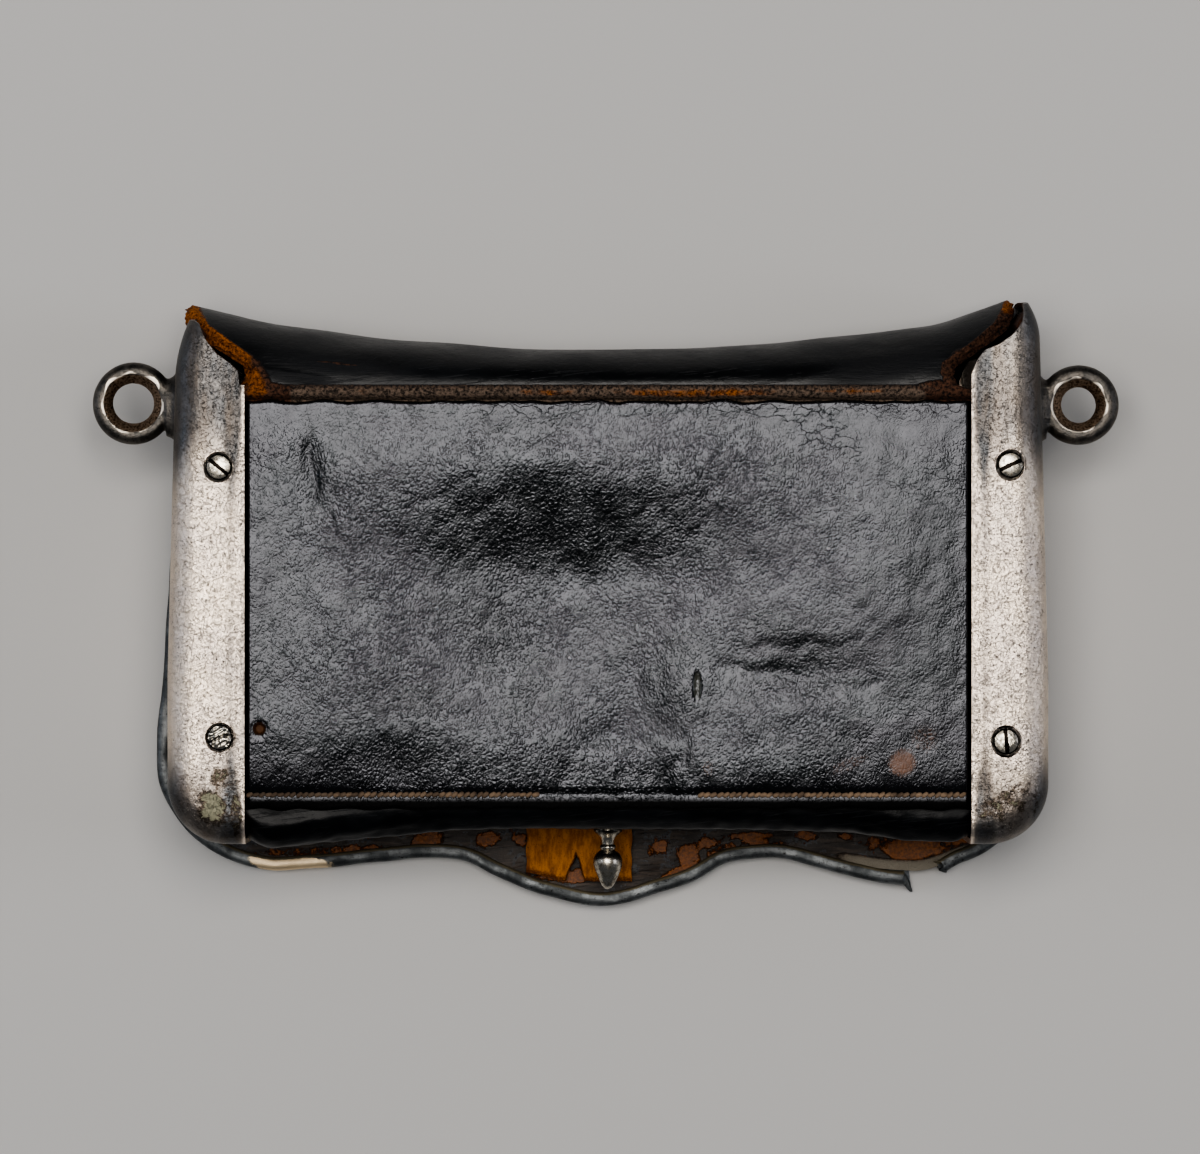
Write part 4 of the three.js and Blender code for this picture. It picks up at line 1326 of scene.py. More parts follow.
# %% Make the screws
def screw_surface(x, y, direction, slot_depth, corroded, seed):
    """A disc of points: a low dome, less the slot, with pits where it is corroded, on a short cone.

    The square (u, v) becomes the disc (u sqrt(1 - v^2/2), v sqrt(1 - u^2/2)).
    """
    u, v = np.meshgrid(np.linspace(-1, 1, 81), np.linspace(-1, 1, 81))
    disc_u, disc_v = u * np.sqrt(1 - v * v / 2), v * np.sqrt(1 - u * u / 2)
    far = np.clip(np.hypot(disc_u, disc_v), 0, 1)
    rise = 0.05 + 0.36 * (1 - far**2.2) ** 0.8
    across = np.abs(disc_v) * SCREW_HEAD
    slot_line = across + 0.04 * waves(disc_u * 2, disc_v, 1.5, seed)
    slot = 1 - smoothstep(slot_line, 0.24, 0.36)
    rise -= slot_depth * slot
    rise += corroded * (0.07 * waves(disc_u * 2.3, disc_v * 2.3, 0.9, seed + 1))
    rise -= 0.05 * np.clip(waves(disc_u * 2.3, disc_v * 2.3, 2.2, seed + 2), 0, 1) * far**2
    # Painted shade in the slot and round the rim of the head, less where corrosion fills the slot; corrosion
    # darkens the head a little all over. The hidden underside is dark throughout.
    darkening = np.maximum(slot * (1 - 0.6 * corroded), smoothstep(far, 0.86, 0.97)) + 0.22 * corroded
    turn = np.radians(direction)

    def placed(radius, z):
        long, wide = disc_u * radius, disc_v * radius
        turned_x = x + long * np.cos(turn) - wide * np.sin(turn)
        turned_y = y + long * np.sin(turn) + wide * np.cos(turn)
        return stack(turned_x, turned_y, z)

    points, quads = wall(
        placed(SCREW_HEAD, PLATE_BACK + rise), placed(0.8, np.full(u.shape, PLATE_BACK - 2.2))
    )
    return points, quads, {"darkening": np.concatenate([darkening.ravel(), 1 + 0 * darkening.ravel()])}


dark_steel, tree = new_material("steel_turned_and_browned")
place = millimetres(tree)
rust = add(tree, "TexNoise", {"Vector": place, "Scale": 1.1, "Detail": 6.0, "Roughness": 0.7})
grit = add(tree, "TexNoise", {"Vector": place, "Scale": 5.0, "Detail": 4.0, "Roughness": 0.6})
steel_colour = add(
    tree,
    "Mix",
    {0: add(tree, "MapRange", (rust, 0.45, 0.70), **SOFT), 6: colour(0xC8C2B6), 7: colour(0x7C7468)},
    **COLOURS,
)
steel_colour = add(
    tree,
    "Mix",
    {0: add(tree, "MapRange", (grit, 0.62, 0.78), **SOFT), 6: steel_colour, 7: colour(0x3A3530)},
    **COLOURS,
)
# Darkening from the per-point value: painted shade in screw slots, round head rims and in the knob's neck
# groove, plus corrosion and the knob's darker collar.
darkening = add(
    tree,
    "Math",
    (rust, 0.5, add(tree, "Attribute", attribute_name="darkening", output=FACTOR)),
    operation="MULTIPLY_ADD",
)
steel_colour = add(
    tree,
    "Mix",
    {0: add(tree, "MapRange", (darkening, 0.55, 1.0), **SOFT), 6: steel_colour, 7: colour(0x1C1815)},
    **COLOURS,
)
steel_height = add(
    tree,
    "Math",
    (grit, 0.4, add(tree, "Math", (rust, 1.2), operation="MULTIPLY")),
    operation="MULTIPLY_ADD",
)
steel_rough = add(tree, "MapRange", (rust, 0.4, 0.7, 0.24, 0.42), **SOFT)
finish_with(
    tree, surface(tree, steel_colour, steel_rough, steel_height, strength=0.7, depth=0.04, more=METALLIC)
)

for number, (name, (x, y, direction, slot_depth, corroded)) in enumerate(SCREWS.items()):
    screw_mesh = make_mesh(name, *screw_surface(x, y, direction, slot_depth, corroded, 40 + number))
    add_piece(name + "_steel", screw_mesh, dark_steel, [name], crisp=35)

# %% [markdown]
# ## Box of leather
#
# One strip of thinner, smooth leather makes the front wall, turns round under the bottom and comes up
# behind the back panel as a lip, where it is sewn on. Its bottom sags between the plates and has
# wrinkled. The surface is a section, front wall, two quarter circles and lip, carried along the pouch.

# %% Shape of the box
BOTTOM = np.array(
    [
        (-72, -40.7), (-68, -41.5), (-65.8, -41.7), (-64, -43.2), (-61, -44.2), (-55, -43.6),
        (-38, -41.7), (-29, -40.8), (0, -40.6), (27, -40.8), (44, -41.3), (54, -42.7), (63, -42.9),
        (65.8, -41.7), (68, -41.5), (72, -40.7),
    ]
)
SHELL_TOP, BOTTOM_RADIUS = 36.0, 5.0


def shell_sheet(inset):
    """Points of the box's skin: at each place along the pouch, its section pushed inwards by `inset`.

    Each part of the section gives its own y and z, and the direction that points out of the leather.
    """
    along = bunched(-72, 72, 240, [-62, 62], 5.0, 1.0)
    low = np.interp(along, BOTTOM[:, 0], BOTTOM[:, 1])
    low = np.convolve(np.pad(low, 3, mode="edge"), np.ones(7) / 7, mode="valid")[:, None]
    radius, centre = BOTTOM_RADIUS - inset, low + BOTTOM_RADIUS
    front, back = np.radians(np.linspace(-90, 0, 18)), np.radians(np.linspace(0, 90, 26))
    flat = np.linspace(SHELL_FRONT + BOTTOM_RADIUS, LIP_TOP - BOTTOM_RADIUS, 14)[1:-1]
    front_centre, back_centre = SHELL_FRONT + BOTTOM_RADIUS, LIP_TOP - BOTTOM_RADIUS
    parts = [
        (np.linspace(SHELL_TOP, centre[:, 0], 12).T[:, :-1], SHELL_FRONT + inset, 0, -1),
        (
            centre - radius * np.cos(front),
            front_centre + radius * np.sin(front),
            -np.cos(front),
            np.sin(front),
        ),
        (low + inset + 0 * flat, flat, -1, 0),
        (
            centre - radius * np.cos(back),
            back_centre + radius * np.sin(back),
            -np.cos(back),
            np.sin(back),
        ),
        (np.linspace(centre[:, 0], LIP_END, 14).T[:, 1:], LIP_TOP - inset, 0, 1),
    ]
    y, z, out_y, out_z = (
        np.concatenate([np.broadcast_to(part[k], part[0].shape) for part in parts], 1) for k in range(4)
    )
    x = along[:, None] + 0 * y
    steps = np.hypot(np.diff(y, axis=1, prepend=y[:, :1]), np.diff(z, axis=1, prepend=z[:, :1]))
    around = np.cumsum(steps, 1)
    seen = smoothstep(z, 14, 26) * (1 - smoothstep(np.abs(x), 64, 68)) * (1 - smoothstep(y, -38.6, -36.9))
    ripple = 0.13 * waves(x * 0.16, around * 0.8, 4.2, 51) + 0.06 * waves(x * 0.4, around, 2.0, 52)
    lift = np.minimum(ripple * seen, 0.3)
    return stack(x, y + out_y * lift, z + out_z * lift)


shell_mesh = make_mesh("box_shell", *wall(shell_sheet(0.0), shell_sheet(BOX_LEATHER)))

# %% [markdown]
# ## Black smooth leather
#
# The flap and the box are of thinner leather with its grain polished flat: almost a mirror, but old, so
# it is crossed by hairlines and its gloss comes and goes. The gloss is drawn by a low roughness that
# noise raises in clouds, and the hairlines are noise stretched very long and thin.


# %% Black smooth leather
def smooth_black(tree, place):
    """Colour, roughness and height of polished black leather, as three outputs."""
    cloud = add(tree, "TexNoise", {"Vector": place, "Scale": 0.09, "Detail": 5.0, "Roughness": 0.6})
    fine = add(tree, "TexNoise", {"Vector": place, "Scale": 1.8, "Detail": 5.0, "Roughness": 0.6})
    hairlines = scratches_of(tree, place, 0.12, 9.0, 3.2, 0.62)
    hairlines = add(
        tree, "Math", (hairlines, scratches_of(tree, place, 0.6, 6.0, 3.0, 0.68)), operation="MAXIMUM"
    )
    face = add(
        tree,
        "Mix",
        {0: add(tree, "MapRange", (cloud, 0.4, 0.7), **SOFT), 6: colour(0x090B0E), 7: colour(0x13161A)},
        **COLOURS,
    )
    face = add(
        tree,
        "Mix",
        {0: add(tree, "Math", (hairlines, 0.25), operation="MULTIPLY"), 6: face, 7: colour(0x3A3B3F)},
        **COLOURS,
    )
    shine = add(tree, "MapRange", (cloud, 0.35, 0.7, 0.33, 0.46), **SOFT)
    shine = add(tree, "Math", (hairlines, 0.1, shine), operation="MULTIPLY_ADD")
    height = add(
        tree,
        "Math",
        (hairlines, -0.4, add(tree, "Math", (fine, 0.6), operation="MULTIPLY")),
        operation="MULTIPLY_ADD",
    )
    height = add(
        tree,
        "Math",
        (
            add(tree, "TexNoise", {"Vector": place, "Scale": 0.35, "Detail": 4.0, "Roughness": 0.6}),
            2.5,
            height,
        ),
        operation="MULTIPLY_ADD",
    )
    return face, shine, height


black_smooth, tree = new_material("black_smooth_leather_polished")
face, shine, height = smooth_black(tree, millimetres(tree))
polished = {"IOR": 1.5, "Specular IOR Level": 0.22}
finish_with(tree, surface(tree, face, shine, height, strength=0.8, depth=0.05, more=polished))

add_piece("box_shell_leather", shell_mesh, black_smooth, ["box_shell"], crisp=60)

# %% [markdown]
# ## End walls
#
# Inside each metal end stands a wall of brown leather. Only its worn top edge shows, between the flap's
# roll and the plate.


# %% Make the end walls
def end_wall_sheet(side, out):
    """Grid over depth and height of one face of an end wall, `out` from the pouch's middle."""
    z = np.linspace(SHELL_FRONT + BOX_LEATHER, LIP_TOP, 40)[None]
    arch = PLATE_ARCH * np.maximum(0, 1 - ((z - MIDDLE_DEPTH) / (MIDDLE_DEPTH - PLATE_FRONT)) ** 2)
    top = 51 + 0 * z
    for _ in range(CUT_STEPS):
        x = out - lean(top) - curl(side, top)
        edge = np.interp(x - PLATE_INNER, PLATE_TOP[:, 0], PLATE_TOP[:, side["top"]]) + arch + END_STANDS
        top = top + 0.6 * (np.minimum(edge, under_roll(side["sign"] * x, z)) - top)
    top = top + 0.12 * waves(z, 0 * z, 2.5, 61)
    radius = CORNER_RADIUS - METAL - GAP
    over = np.clip(out - (PLATE_END - CORNER_RADIUS), 0, radius)
    low = PLATE_BOTTOM + CORNER_RADIUS - np.sqrt(radius**2 - over**2) + 0.2
    y = low + (top - low) * np.linspace(0, 1, 60)[:, None] ** 0.8
    return stack(side["sign"] * (out - lean(y) - curl(side, y)), y, z + 0 * y)


brown_leather, tree = new_material("brown_leather_worn_raw")
place = millimetres(tree)
nap = add(tree, "TexNoise", {"Vector": place, "Scale": 2.2, "Detail": 6.0, "Roughness": 0.7})
stain = add(tree, "TexNoise", {"Vector": place, "Scale": 0.3, "Detail": 4.0})
brown = add(
    tree,
    "Mix",
    {0: add(tree, "MapRange", (stain, 0.4, 0.65), **SOFT), 6: colour(0x46291A), 7: colour(0x21150F)},
    **COLOURS,
)
brown = add(
    tree,
    "Mix",
    {0: add(tree, "MapRange", (nap, 0.52, 0.72), **SOFT), 6: brown, 7: colour(0x6A4228)},
    **COLOURS,
)
finish_with(tree, surface(tree, brown, 0.8, nap, strength=1.0, depth=0.25))

for side_name, side in SIDES.items():
    outer = PLATE_END - METAL - GAP
    sheets = end_wall_sheet(side, outer), end_wall_sheet(side, outer - END_LEATHER)
    end_mesh = make_mesh("end_wall_" + side_name, *wall(*sheets))
    add_piece(
        f"end_wall_{side_name}_leather",
        end_mesh,
        brown_leather,
        ["end_wall_" + side_name],
    )

# %% [markdown]
# ## Flap
#
# The flap is one thick piece of leather. Its root is sewn behind the back panel, it rolls over the
# mouth, and its front is as big as the pouch, with a wavy lower edge. Here it is a grid: one parameter
# goes from the root over the roll to the lower edge, the other from the left end to the right. At the
# roll's ends the cut edge is worn slanting, so the outer face is narrower than the inner one, and the
# raw edge between them is a few extra columns, roughened. The corners stand up like two small horns.

# %% Shape of the flap
ROOT_HALF_LENGTH = 66.3
FRONT_TOP_HALF = 77.0
LEATHER_SAG, RIM_SAG = 1.2, 2.8
SAG = {"from": 30, "full": 54, "fades": 57, "end": 66}
LOWER_EDGE = np.array(
    [
        (0, -55.2), (11, -52.9), (18.2, -50.0), (24.5, -47.0), (32, -46.2), (41, -47.0), (54, -48.3),
        (61.5, -48.5), (67.3, -47.2), (73.2, -44.2), (77.6, -39.8), (80.7, -34.2), (81.7, -26.4),
        (80.7, -18.0),
    ]
)
edge_left = np.stack([FLAP_MIDDLE - LOWER_EDGE[::-1, 0], LOWER_EDGE[::-1, 1]], 1)
edge_right = np.stack([FLAP_MIDDLE + LOWER_EDGE[1:, 0], LOWER_EDGE[1:, 1]], 1)
edge_knots = np.concatenate([edge_left, edge_right])


def curve_through(knots, t):
    """A smooth curve through knots, t from 0 to 1: a cubic between each two, with its slopes at both
    ends from the neighbours, weighted by the square roots of the distances between knots."""
    padded = np.concatenate([[2 * knots[0] - knots[1]], knots, [2 * knots[-1] - knots[-2]]])
    place = np.clip(np.asarray(t, dtype=float), 0, 1) * (len(knots) - 1)
    index = np.minimum(place.astype(int), len(knots) - 2)
    part = (place - index)[..., None]
    a, b, c, d = (padded[index + step] for step in range(4))
    gap_ab, gap_bc, gap_cd = (
        np.sqrt(np.linalg.norm(q - p, axis=-1, keepdims=True)) for p, q in ((a, b), (b, c), (c, d))
    )
    slope_b = ((b - a) / gap_ab - (c - a) / (gap_ab + gap_bc) + (c - b) / gap_bc) * gap_bc
    slope_c = ((c - b) / gap_bc - (d - b) / (gap_bc + gap_cd) + (d - c) / gap_cd) * gap_bc
    square, cube = part**2, part**3
    return (
        b * (2 * cube - 3 * square + 1)
        + slope_b * (cube - 2 * square + part)
        + c * (3 * square - 2 * cube)
        + slope_c * (cube - square)
    )


def sag_at(x):
    """Where the edge is bent down beside the rim's break: 1 there, fading out on both sides."""
    return smoothstep(x, SAG["from"], SAG["full"]) * (1 - smoothstep(x, SAG["fades"], SAG["end"]))


def lower_edge(across, sag):
    """The flap's lower edge from its left end (-1) to its right end (1), bent down by the sag."""
    points = curve_through(edge_knots, (np.asarray(across) + 1) / 2)
    points[..., 1] -= sag * sag_at(points[..., 0])
    return points


ROOT_PATH = np.array(
    [
        (30, 34.0), (33, 34.0), (36, 34.0), (37.0, 34.02), (37.25, 34.6), (37.5, 35.5), (37.9, 36.05),
        (38.5, 36.3),
    ]
)
even_columns = np.linspace(-1, 1, 190)
across_columns = (np.sin(even_columns * np.pi / 2) + even_columns) / 2
roll_angles = np.concatenate([np.linspace(0, 90, 46), np.linspace(90, 180, 22)[1:]])
front_steps = np.concatenate([np.linspace(0, 0.8, 16)[1:], np.linspace(0.8, 1, 50)[1:]])


def flap_sheet(depth, bevelled):
    """Rows of points of the flap at a depth below its outer face: root, roll and front."""
    across = across_columns[None]
    root_y, root_z = ROOT_PATH[:, 0][:, None], ROOT_PATH[:, 1][:, None]
    toward = smoothstep(root_y, 38.0, 39.6)
    half = ROOT_HALF_LENGTH + (ROLL_WIDTH[0, 1] - ROOT_HALF_LENGTH) * toward
    root_x = FLAP_MIDDLE * toward + across * half
    root = stack(root_x, root_y + 0 * root_x, root_z - depth + 0 * root_x)

    bevel = np.interp(roll_angles, ROLL_WIDTH[:, 0], ROLL_WIDTH[:, 2]) if bevelled else 0 * roll_angles
    half = (np.interp(roll_angles, ROLL_WIDTH[:, 0], ROLL_WIDTH[:, 1]) - bevel)[:, None]
    turn = np.radians(roll_angles)[:, None]
    x = FLAP_MIDDLE + across * half
    y = HINGE_Y + (crest(x) - HINGE_Y - depth) * np.sin(turn)
    roll = stack(x, y, ROLL_MIDDLE + (ROLL_DEPTH - depth) * np.cos(turn) + 0 * x)

    top = stack(FLAP_MIDDLE + across_columns * FRONT_TOP_HALF, HINGE_Y, 0)[:, :2][None]
    low = lower_edge(across_columns, LEATHER_SAG)[None]
    plan = top + (low - top) * front_steps[:, None, None]
    front = stack(plan[..., 0], plan[..., 1], FLAP_FACE + depth)
    return np.concatenate([root, roll, front])


outer_face, inner_face = flap_sheet(0.0, True), flap_sheet(FLAP_LEATHER, False)
roll_rows = slice(len(ROOT_PATH), len(ROOT_PATH) + len(roll_angles))
is_front = np.zeros(len(outer_face))
is_front[len(ROOT_PATH) + len(roll_angles):] = 1

EDGE_COLUMNS = 9
share = np.linspace(0, 1, EDGE_COLUMNS + 1)[:-1]


def raw_edge(column, sign, seed):
    """Columns between the inner and the outer face at one end, frayed outwards and along by noise."""
    inner, outer = inner_face[:, column][:, None], outer_face[:, column][:, None]
    points = inner + (outer - inner) * share[None, :, None]
    row = np.arange(len(points))[:, None] * 0.9
    fray = 0.34 * waves(row, share[None] * 6, 2.6, seed) + 0.3 * waves(row, share[None] * 9, 1.2, seed + 1)
    inward = np.sin(share[None] * np.pi * 0.9)
    points[..., 0] += sign * (0.25 * inward + fray * inward * (1 - 0.7 * is_front[:, None]))
    points[..., 2] += 0.15 * fray * inward
    return points


left_edge, right_edge = raw_edge(0, -1, 71), raw_edge(-1, 1, 75)[:, ::-1]
roll_dents = 0.10 * waves(outer_face[..., 0] * 0.5, outer_face[..., 1] * 1.6, 9.0, 77)
roll_part = np.zeros(len(outer_face))
roll_part[roll_rows] = np.sin(np.radians(roll_angles)) ** 0.5
outer_face[..., 1] += roll_dents * roll_part[:, None]
flap_over = np.concatenate([left_edge, outer_face, right_edge], 1)
flap_under = np.concatenate(
    [inner_face[:, :1].repeat(EDGE_COLUMNS, 1), inner_face, inner_face[:, -1:].repeat(EDGE_COLUMNS, 1)],
    1,
)
buckle = 0.22 * waves(flap_under[..., 0] * 0.6, flap_under[..., 1], 8.0, 78) * is_front[:, None]
flap_under[..., 2] += np.clip(buckle, -0.4, 0.2)
flap_points, flap_quads = wall(flap_over, flap_under)
print("flap:", len(flap_points), "points")

# %% Where the flap is worn
columns = np.arange(flap_over.shape[1])[None]
rows_y, rows_z = flap_over[..., 1], flap_over[..., 2]
end_columns = np.minimum(columns, flap_over.shape[1] - 1 - columns)
spread = np.where(flap_over[..., 0] < 0, 6.5, 3.0)
raw_end = 1 - smoothstep(end_columns, EDGE_COLUMNS - 0.5, EDGE_COLUMNS + spread)
on_back = smoothstep(rows_z, 30, 34)
band = (1 - smoothstep(rows_y, 39.3, 40.0)) * smoothstep(rows_y, 35, 36) * on_back
flap_x = flap_over[..., 0]
# Raw corners of the hinge: x, y, half length, half height, direction, strength.
RAW_CORNERS = [
    (-64.5, 42.0, 6.0, 2.6, -48, 1.0),
    (-61.5, 38.6, 5.0, 1.6, 0, 1.0),
    (62.4, 42.4, 4.4, 1.9, 70, 1.0),
    (58.5, 38.8, 5.0, 1.8, 8, 0.9),
    (-49.0, 43.6, 5.0, 0.25, -6, 0.7),
]
corners = patches(flap_x, rows_y, RAW_CORNERS) * on_back
raw_over = np.clip(np.maximum(raw_end, np.maximum(band * 0.85, corners)), 0, 1.2)

# Where raw leather is bright orange and not dirty brown: x, y, half length, half height, direction,
# strength.
ORANGE = [
    (-75.0, 53.0, 4.5, 4.5, 0, 1.1),
    (-70.5, 46.5, 9.0, 5.0, -45, 0.85),
    (-64.5, 40.5, 5.0, 3.0, -48, 0.6),
    (-10.5, 38.4, 8.0, 0.9, 0, 0.5),
    (15.5, 38.2, 18.0, 0.9, 0, 0.6),
    (44.0, 38.6, 9.0, 0.9, 0, 0.5),
    (-44.0, 38.2, 5.0, 0.7, 0, 0.3),
    (73.5, 54.6, 2.4, 2.0, 40, 0.7),
    (66.0, 48.0, 6.0, 2.0, 40, 0.15),
]
orange_over = patches(flap_x, rows_y, ORANGE)
torn_lip = smoothstep(flap_x, 40, 46) * (1 - smoothstep(flap_x, 66, 69)) * is_front[:, None]
row_number = np.arange(len(flap_over))[:, None] + 0 * flap_x
torn_lip = torn_lip * smoothstep(row_number, len(flap_over) - 9, len(flap_over) - 4)

# Scuffed stretches of the roll near its ends, dull and silvery: x, y, half length,
# half height, direction, strength.
SCUFFED = [
    (-50.0, 43.4, 14.0, 1.8, -6, 0.9),
    (-57.0, 41.0, 8.0, 1.2, -8, 0.8),
    (-62.0, 48.5, 9.0, 2.2, -22, 0.8),
    (50.0, 43.0, 12.0, 2.8, 10, 0.9),
    (60.0, 47.5, 8.0, 2.0, 26, 0.6),
]
scuffed = patches(flap_x, rows_y, SCUFFED) * on_back

# Blotches where the black has flaked off the inside: x, y, half length, half height, direction, strength.
FLAKED = [
    (-51.0, -46.0, 17.0, 0.9, 2, 0.6),
    (-33.5, -43.9, 3.2, 1.9, 10, 1.0),
    (-22.5, -43.8, 2.2, 1.7, 0, 1.1),
    (-16.2, -44.0, 1.0, 1.5, 0, 0.9),
    (-28.0, -46.4, 3.0, 0.8, -10, 0.5),
    (9.5, -45.6, 2.2, 1.2, 20, 0.75),
    (15.4, -47.2, 2.4, 2.6, 40, 1.0),
    (18.5, -44.6, 2.6, 1.1, 10, 0.9),
    (13.0, -50.0, 3.6, 0.9, 22, 0.8),
    (26.5, -43.3, 4.4, 0.8, 0, 1.0),
    (30.5, -45.6, 0.9, 2.0, 0, 0.9),
    (37.2, -43.2, 1.9, 0.8, 0, 0.9),
    (43.6, -43.4, 1.2, 0.9, 0, 0.8),
    (57.5, -45.4, 6.5, 2.6, 12, 1.1),
    (50.0, -44.6, 3.0, 1.5, 5, 0.55),
    (-5.7, -50.6, 9.0, 1.3, 0, 1.1),
    (22.0, -46.2, 5.0, 1.4, 15, 0.55),
    (29.0, -44.4, 4.0, 1.6, -10, 0.6),
    (64.5, -43.6, 3.0, 2.0, 20, 0.7),
]
flaked = patches(flap_under[..., 0], flap_under[..., 1], FLAKED) * is_front[:, None]


def both(over_values, under_values):
    """Values for the outer and then the inner points of the flap."""
    return np.concatenate([(over_values + 0 * flap_x).ravel(), (under_values + 0 * flap_x).ravel()])


flap_values = {
    "raw": both(np.maximum(raw_over, torn_lip), torn_lip),
    "orange": both(orange_over, 0),
    "band": both(band * (np.abs(flap_x) < 57), 0),
    "torn": both(torn_lip, torn_lip),
    "scuffed": both(scuffed, 0),
    "inside": both(0, 1),
    # The inner face along the root and the roll, inside the pouch, gets a painted shade.
    "deep": both(0, 1 - is_front[:, None]),
    "flaked": both(0, flaked),
}
flap_mesh = make_mesh("flap_leather", flap_points, flap_quads, flap_values)

# %% [markdown]
# ## Flap leather: polished, flaking and raw
#
# Three finishes meet on this one hide. Its face is polished black. On its inside the black was only
# painted on, and it has flaked off in rounded scabs over brown, so a noise picks the scabs and a second
# threshold just beside the first draws their dark rims. Cut edges and the worn hinge are raw: orange
# fibres with dirt between them.

# %% Flap leather
flap_finish, tree = new_material("black_flap_leather_flaking")
place = millimetres(tree)
inside_value = add(tree, "Attribute", attribute_name="inside", output=FACTOR)
torn_value = add(tree, "Attribute", attribute_name="torn", output=FACTOR)
scuffed_value = add(tree, "Attribute", attribute_name="scuffed", output=FACTOR)
black_face, black_shine, black_height = smooth_black(tree, place)

fibres = add(tree, "TexNoise", {"Vector": place, "Scale": 1.7, "Detail": 6.0, "Roughness": 0.75})
clumps = add(tree, "TexNoise", {"Vector": place, "Scale": 0.42, "Detail": 5.0, "Roughness": 0.65})
band_noise = add(
    tree,
    "TexNoise",
    {
        "Vector": add(tree, "Mapping", {"Vector": place, "Scale": (0.22, 1.6, 0.6)}),
        "Scale": 1.0,
        "Detail": 5.0,
        "Roughness": 0.7,
    },
)

orange_sum = add(
    tree,
    "Math",
    (clumps, 0.9, add(tree, "Attribute", attribute_name="orange", output=FACTOR)),
    operation="MULTIPLY_ADD",
)
orange_mask = add(tree, "MapRange", (orange_sum, 0.75, 1.2), **SOFT)
band_value = add(tree, "Attribute", attribute_name="band", output=FACTOR)
raw_light = add(tree, "Mix", {0: band_value, 6: colour(0x74503C), 7: colour(0x94806F)}, **COLOURS)
raw_light = add(tree, "Mix", {0: orange_mask, 6: raw_light, 7: colour(0xCC7A20)}, **COLOURS)
raw_dark = add(tree, "Mix", {0: band_value, 6: colour(0x1A1210), 7: colour(0x2C2521)}, **COLOURS)
raw_dark = add(tree, "Mix", {0: orange_mask, 6: raw_dark, 7: colour(0x55290C)}, **COLOURS)
raw_colour = add(
    tree,
    "Mix",
    {0: add(tree, "MapRange", (fibres, 0.38, 0.60), **SOFT), 6: raw_dark, 7: raw_light},
    **COLOURS,
)
raw_colour = add(tree, "Mix", {0: torn_value, 6: raw_colour, 7: colour(0xA39B8C)}, **COLOURS)
raw_sum = add(
    tree,
    "Math",
    (fibres, 0.5, add(tree, "Attribute", attribute_name="raw", output=FACTOR)),
    operation="MULTIPLY_ADD",
)
raw_mask = add(tree, "MapRange", (raw_sum, 0.62, 1.0), **SOFT)

scab_sum = add(
    tree,
    "Math",
    (add(tree, "Attribute", attribute_name="flaked", output=FACTOR), 0.42),
    operation="MULTIPLY",
)
scab_sum = add(tree, "Math", (clumps, 1.2, scab_sum), operation="MULTIPLY_ADD")
scab_sum = add(tree, "Math", (fibres, 0.30, scab_sum), operation="MULTIPLY_ADD")
scabs = add(tree, "MapRange", (scab_sum, 0.86, 1.00), **SOFT)
scab_rims = add(
    tree, "Math", (add(tree, "MapRange", (scab_sum, 0.78, 0.86), **SOFT), scabs), operation="SUBTRACT"
)
paint = add(
    tree,
    "Mix",
    {
        0: add(tree, "MapRange", (band_noise, 0.42, 0.68), **SOFT),
        6: colour(0x261D17),
        7: colour(0x4C3F35),
    },
    **COLOURS,
)
paint = add(
    tree,
    "Mix",
    {0: add(tree, "MapRange", (clumps, 0.51, 0.60), **SOFT), 6: paint, 7: colour(0x565A5F)},
    **COLOURS,
)
bare_brown = add(
    tree,
    "Mix",
    {0: add(tree, "MapRange", (fibres, 0.35, 0.65), **SOFT), 6: colour(0x5E3410), 7: colour(0x98591A)},
    **COLOURS,
)
inside_colour = add(tree, "Mix", {0: scabs, 6: paint, 7: bare_brown}, **COLOURS)
inside_colour = add(
    tree,
    "Mix",
    {
        0: add(tree, "Math", (scab_rims, 0.4), operation="MULTIPLY"),
        6: inside_colour,
        7: colour(0x080605),
    },
    **COLOURS,
)
# Painted shade: the flap's inner face along its root and roll, inside the pouch, is made nearly black and
# dull.
deep_shade_value = add(tree, "Attribute", attribute_name="deep", output=FACTOR)
inside_colour = add(tree, "Mix", {0: deep_shade_value, 6: inside_colour, 7: colour(0x060505)}, **COLOURS)

flap_colour = add(
    tree,
    "Mix",
    {
        0: add(tree, "Math", (scuffed_value, 0.3), operation="MULTIPLY"),
        6: black_face,
        7: colour(0x2C2D31),
    },
    **COLOURS,
)
flap_colour = add(tree, "Mix", {0: inside_value, 6: flap_colour, 7: inside_colour}, **COLOURS)
flap_colour = add(tree, "Mix", {0: raw_mask, 6: flap_colour, 7: raw_colour}, **COLOURS)
flap_shine = add(tree, "Math", (scuffed_value, 0.28, black_shine), operation="MULTIPLY_ADD")
flap_shine = add(tree, "Mix", {0: inside_value, 2: flap_shine, 3: 0.5}, data_type="FLOAT")
flap_shine = add(tree, "Math", (deep_shade_value, 0.45, flap_shine), operation="MULTIPLY_ADD")
flap_shine = add(tree, "Mix", {0: raw_mask, 2: flap_shine, 3: 0.85}, data_type="FLOAT")
raw_height = add(
    tree,
    "Math",
    (add(tree, "Math", (fibres, raw_mask), operation="MULTIPLY"), 14.0),
    operation="MULTIPLY",
)
scab_height = add(
    tree,
    "Math",
    (add(tree, "Math", (scabs, inside_value), operation="MULTIPLY"), -2.5),
    operation="MULTIPLY",
)
scuff_height = add(
    tree,
    "Math",
    (add(tree, "Math", (band_noise, scuffed_value), operation="MULTIPLY"), 5.0),
    operation="MULTIPLY",
)
flap_height = add(
    tree,
    "Math",
    (add(tree, "Math", (black_height, raw_height), operation="ADD"), scab_height),
    operation="ADD",
)
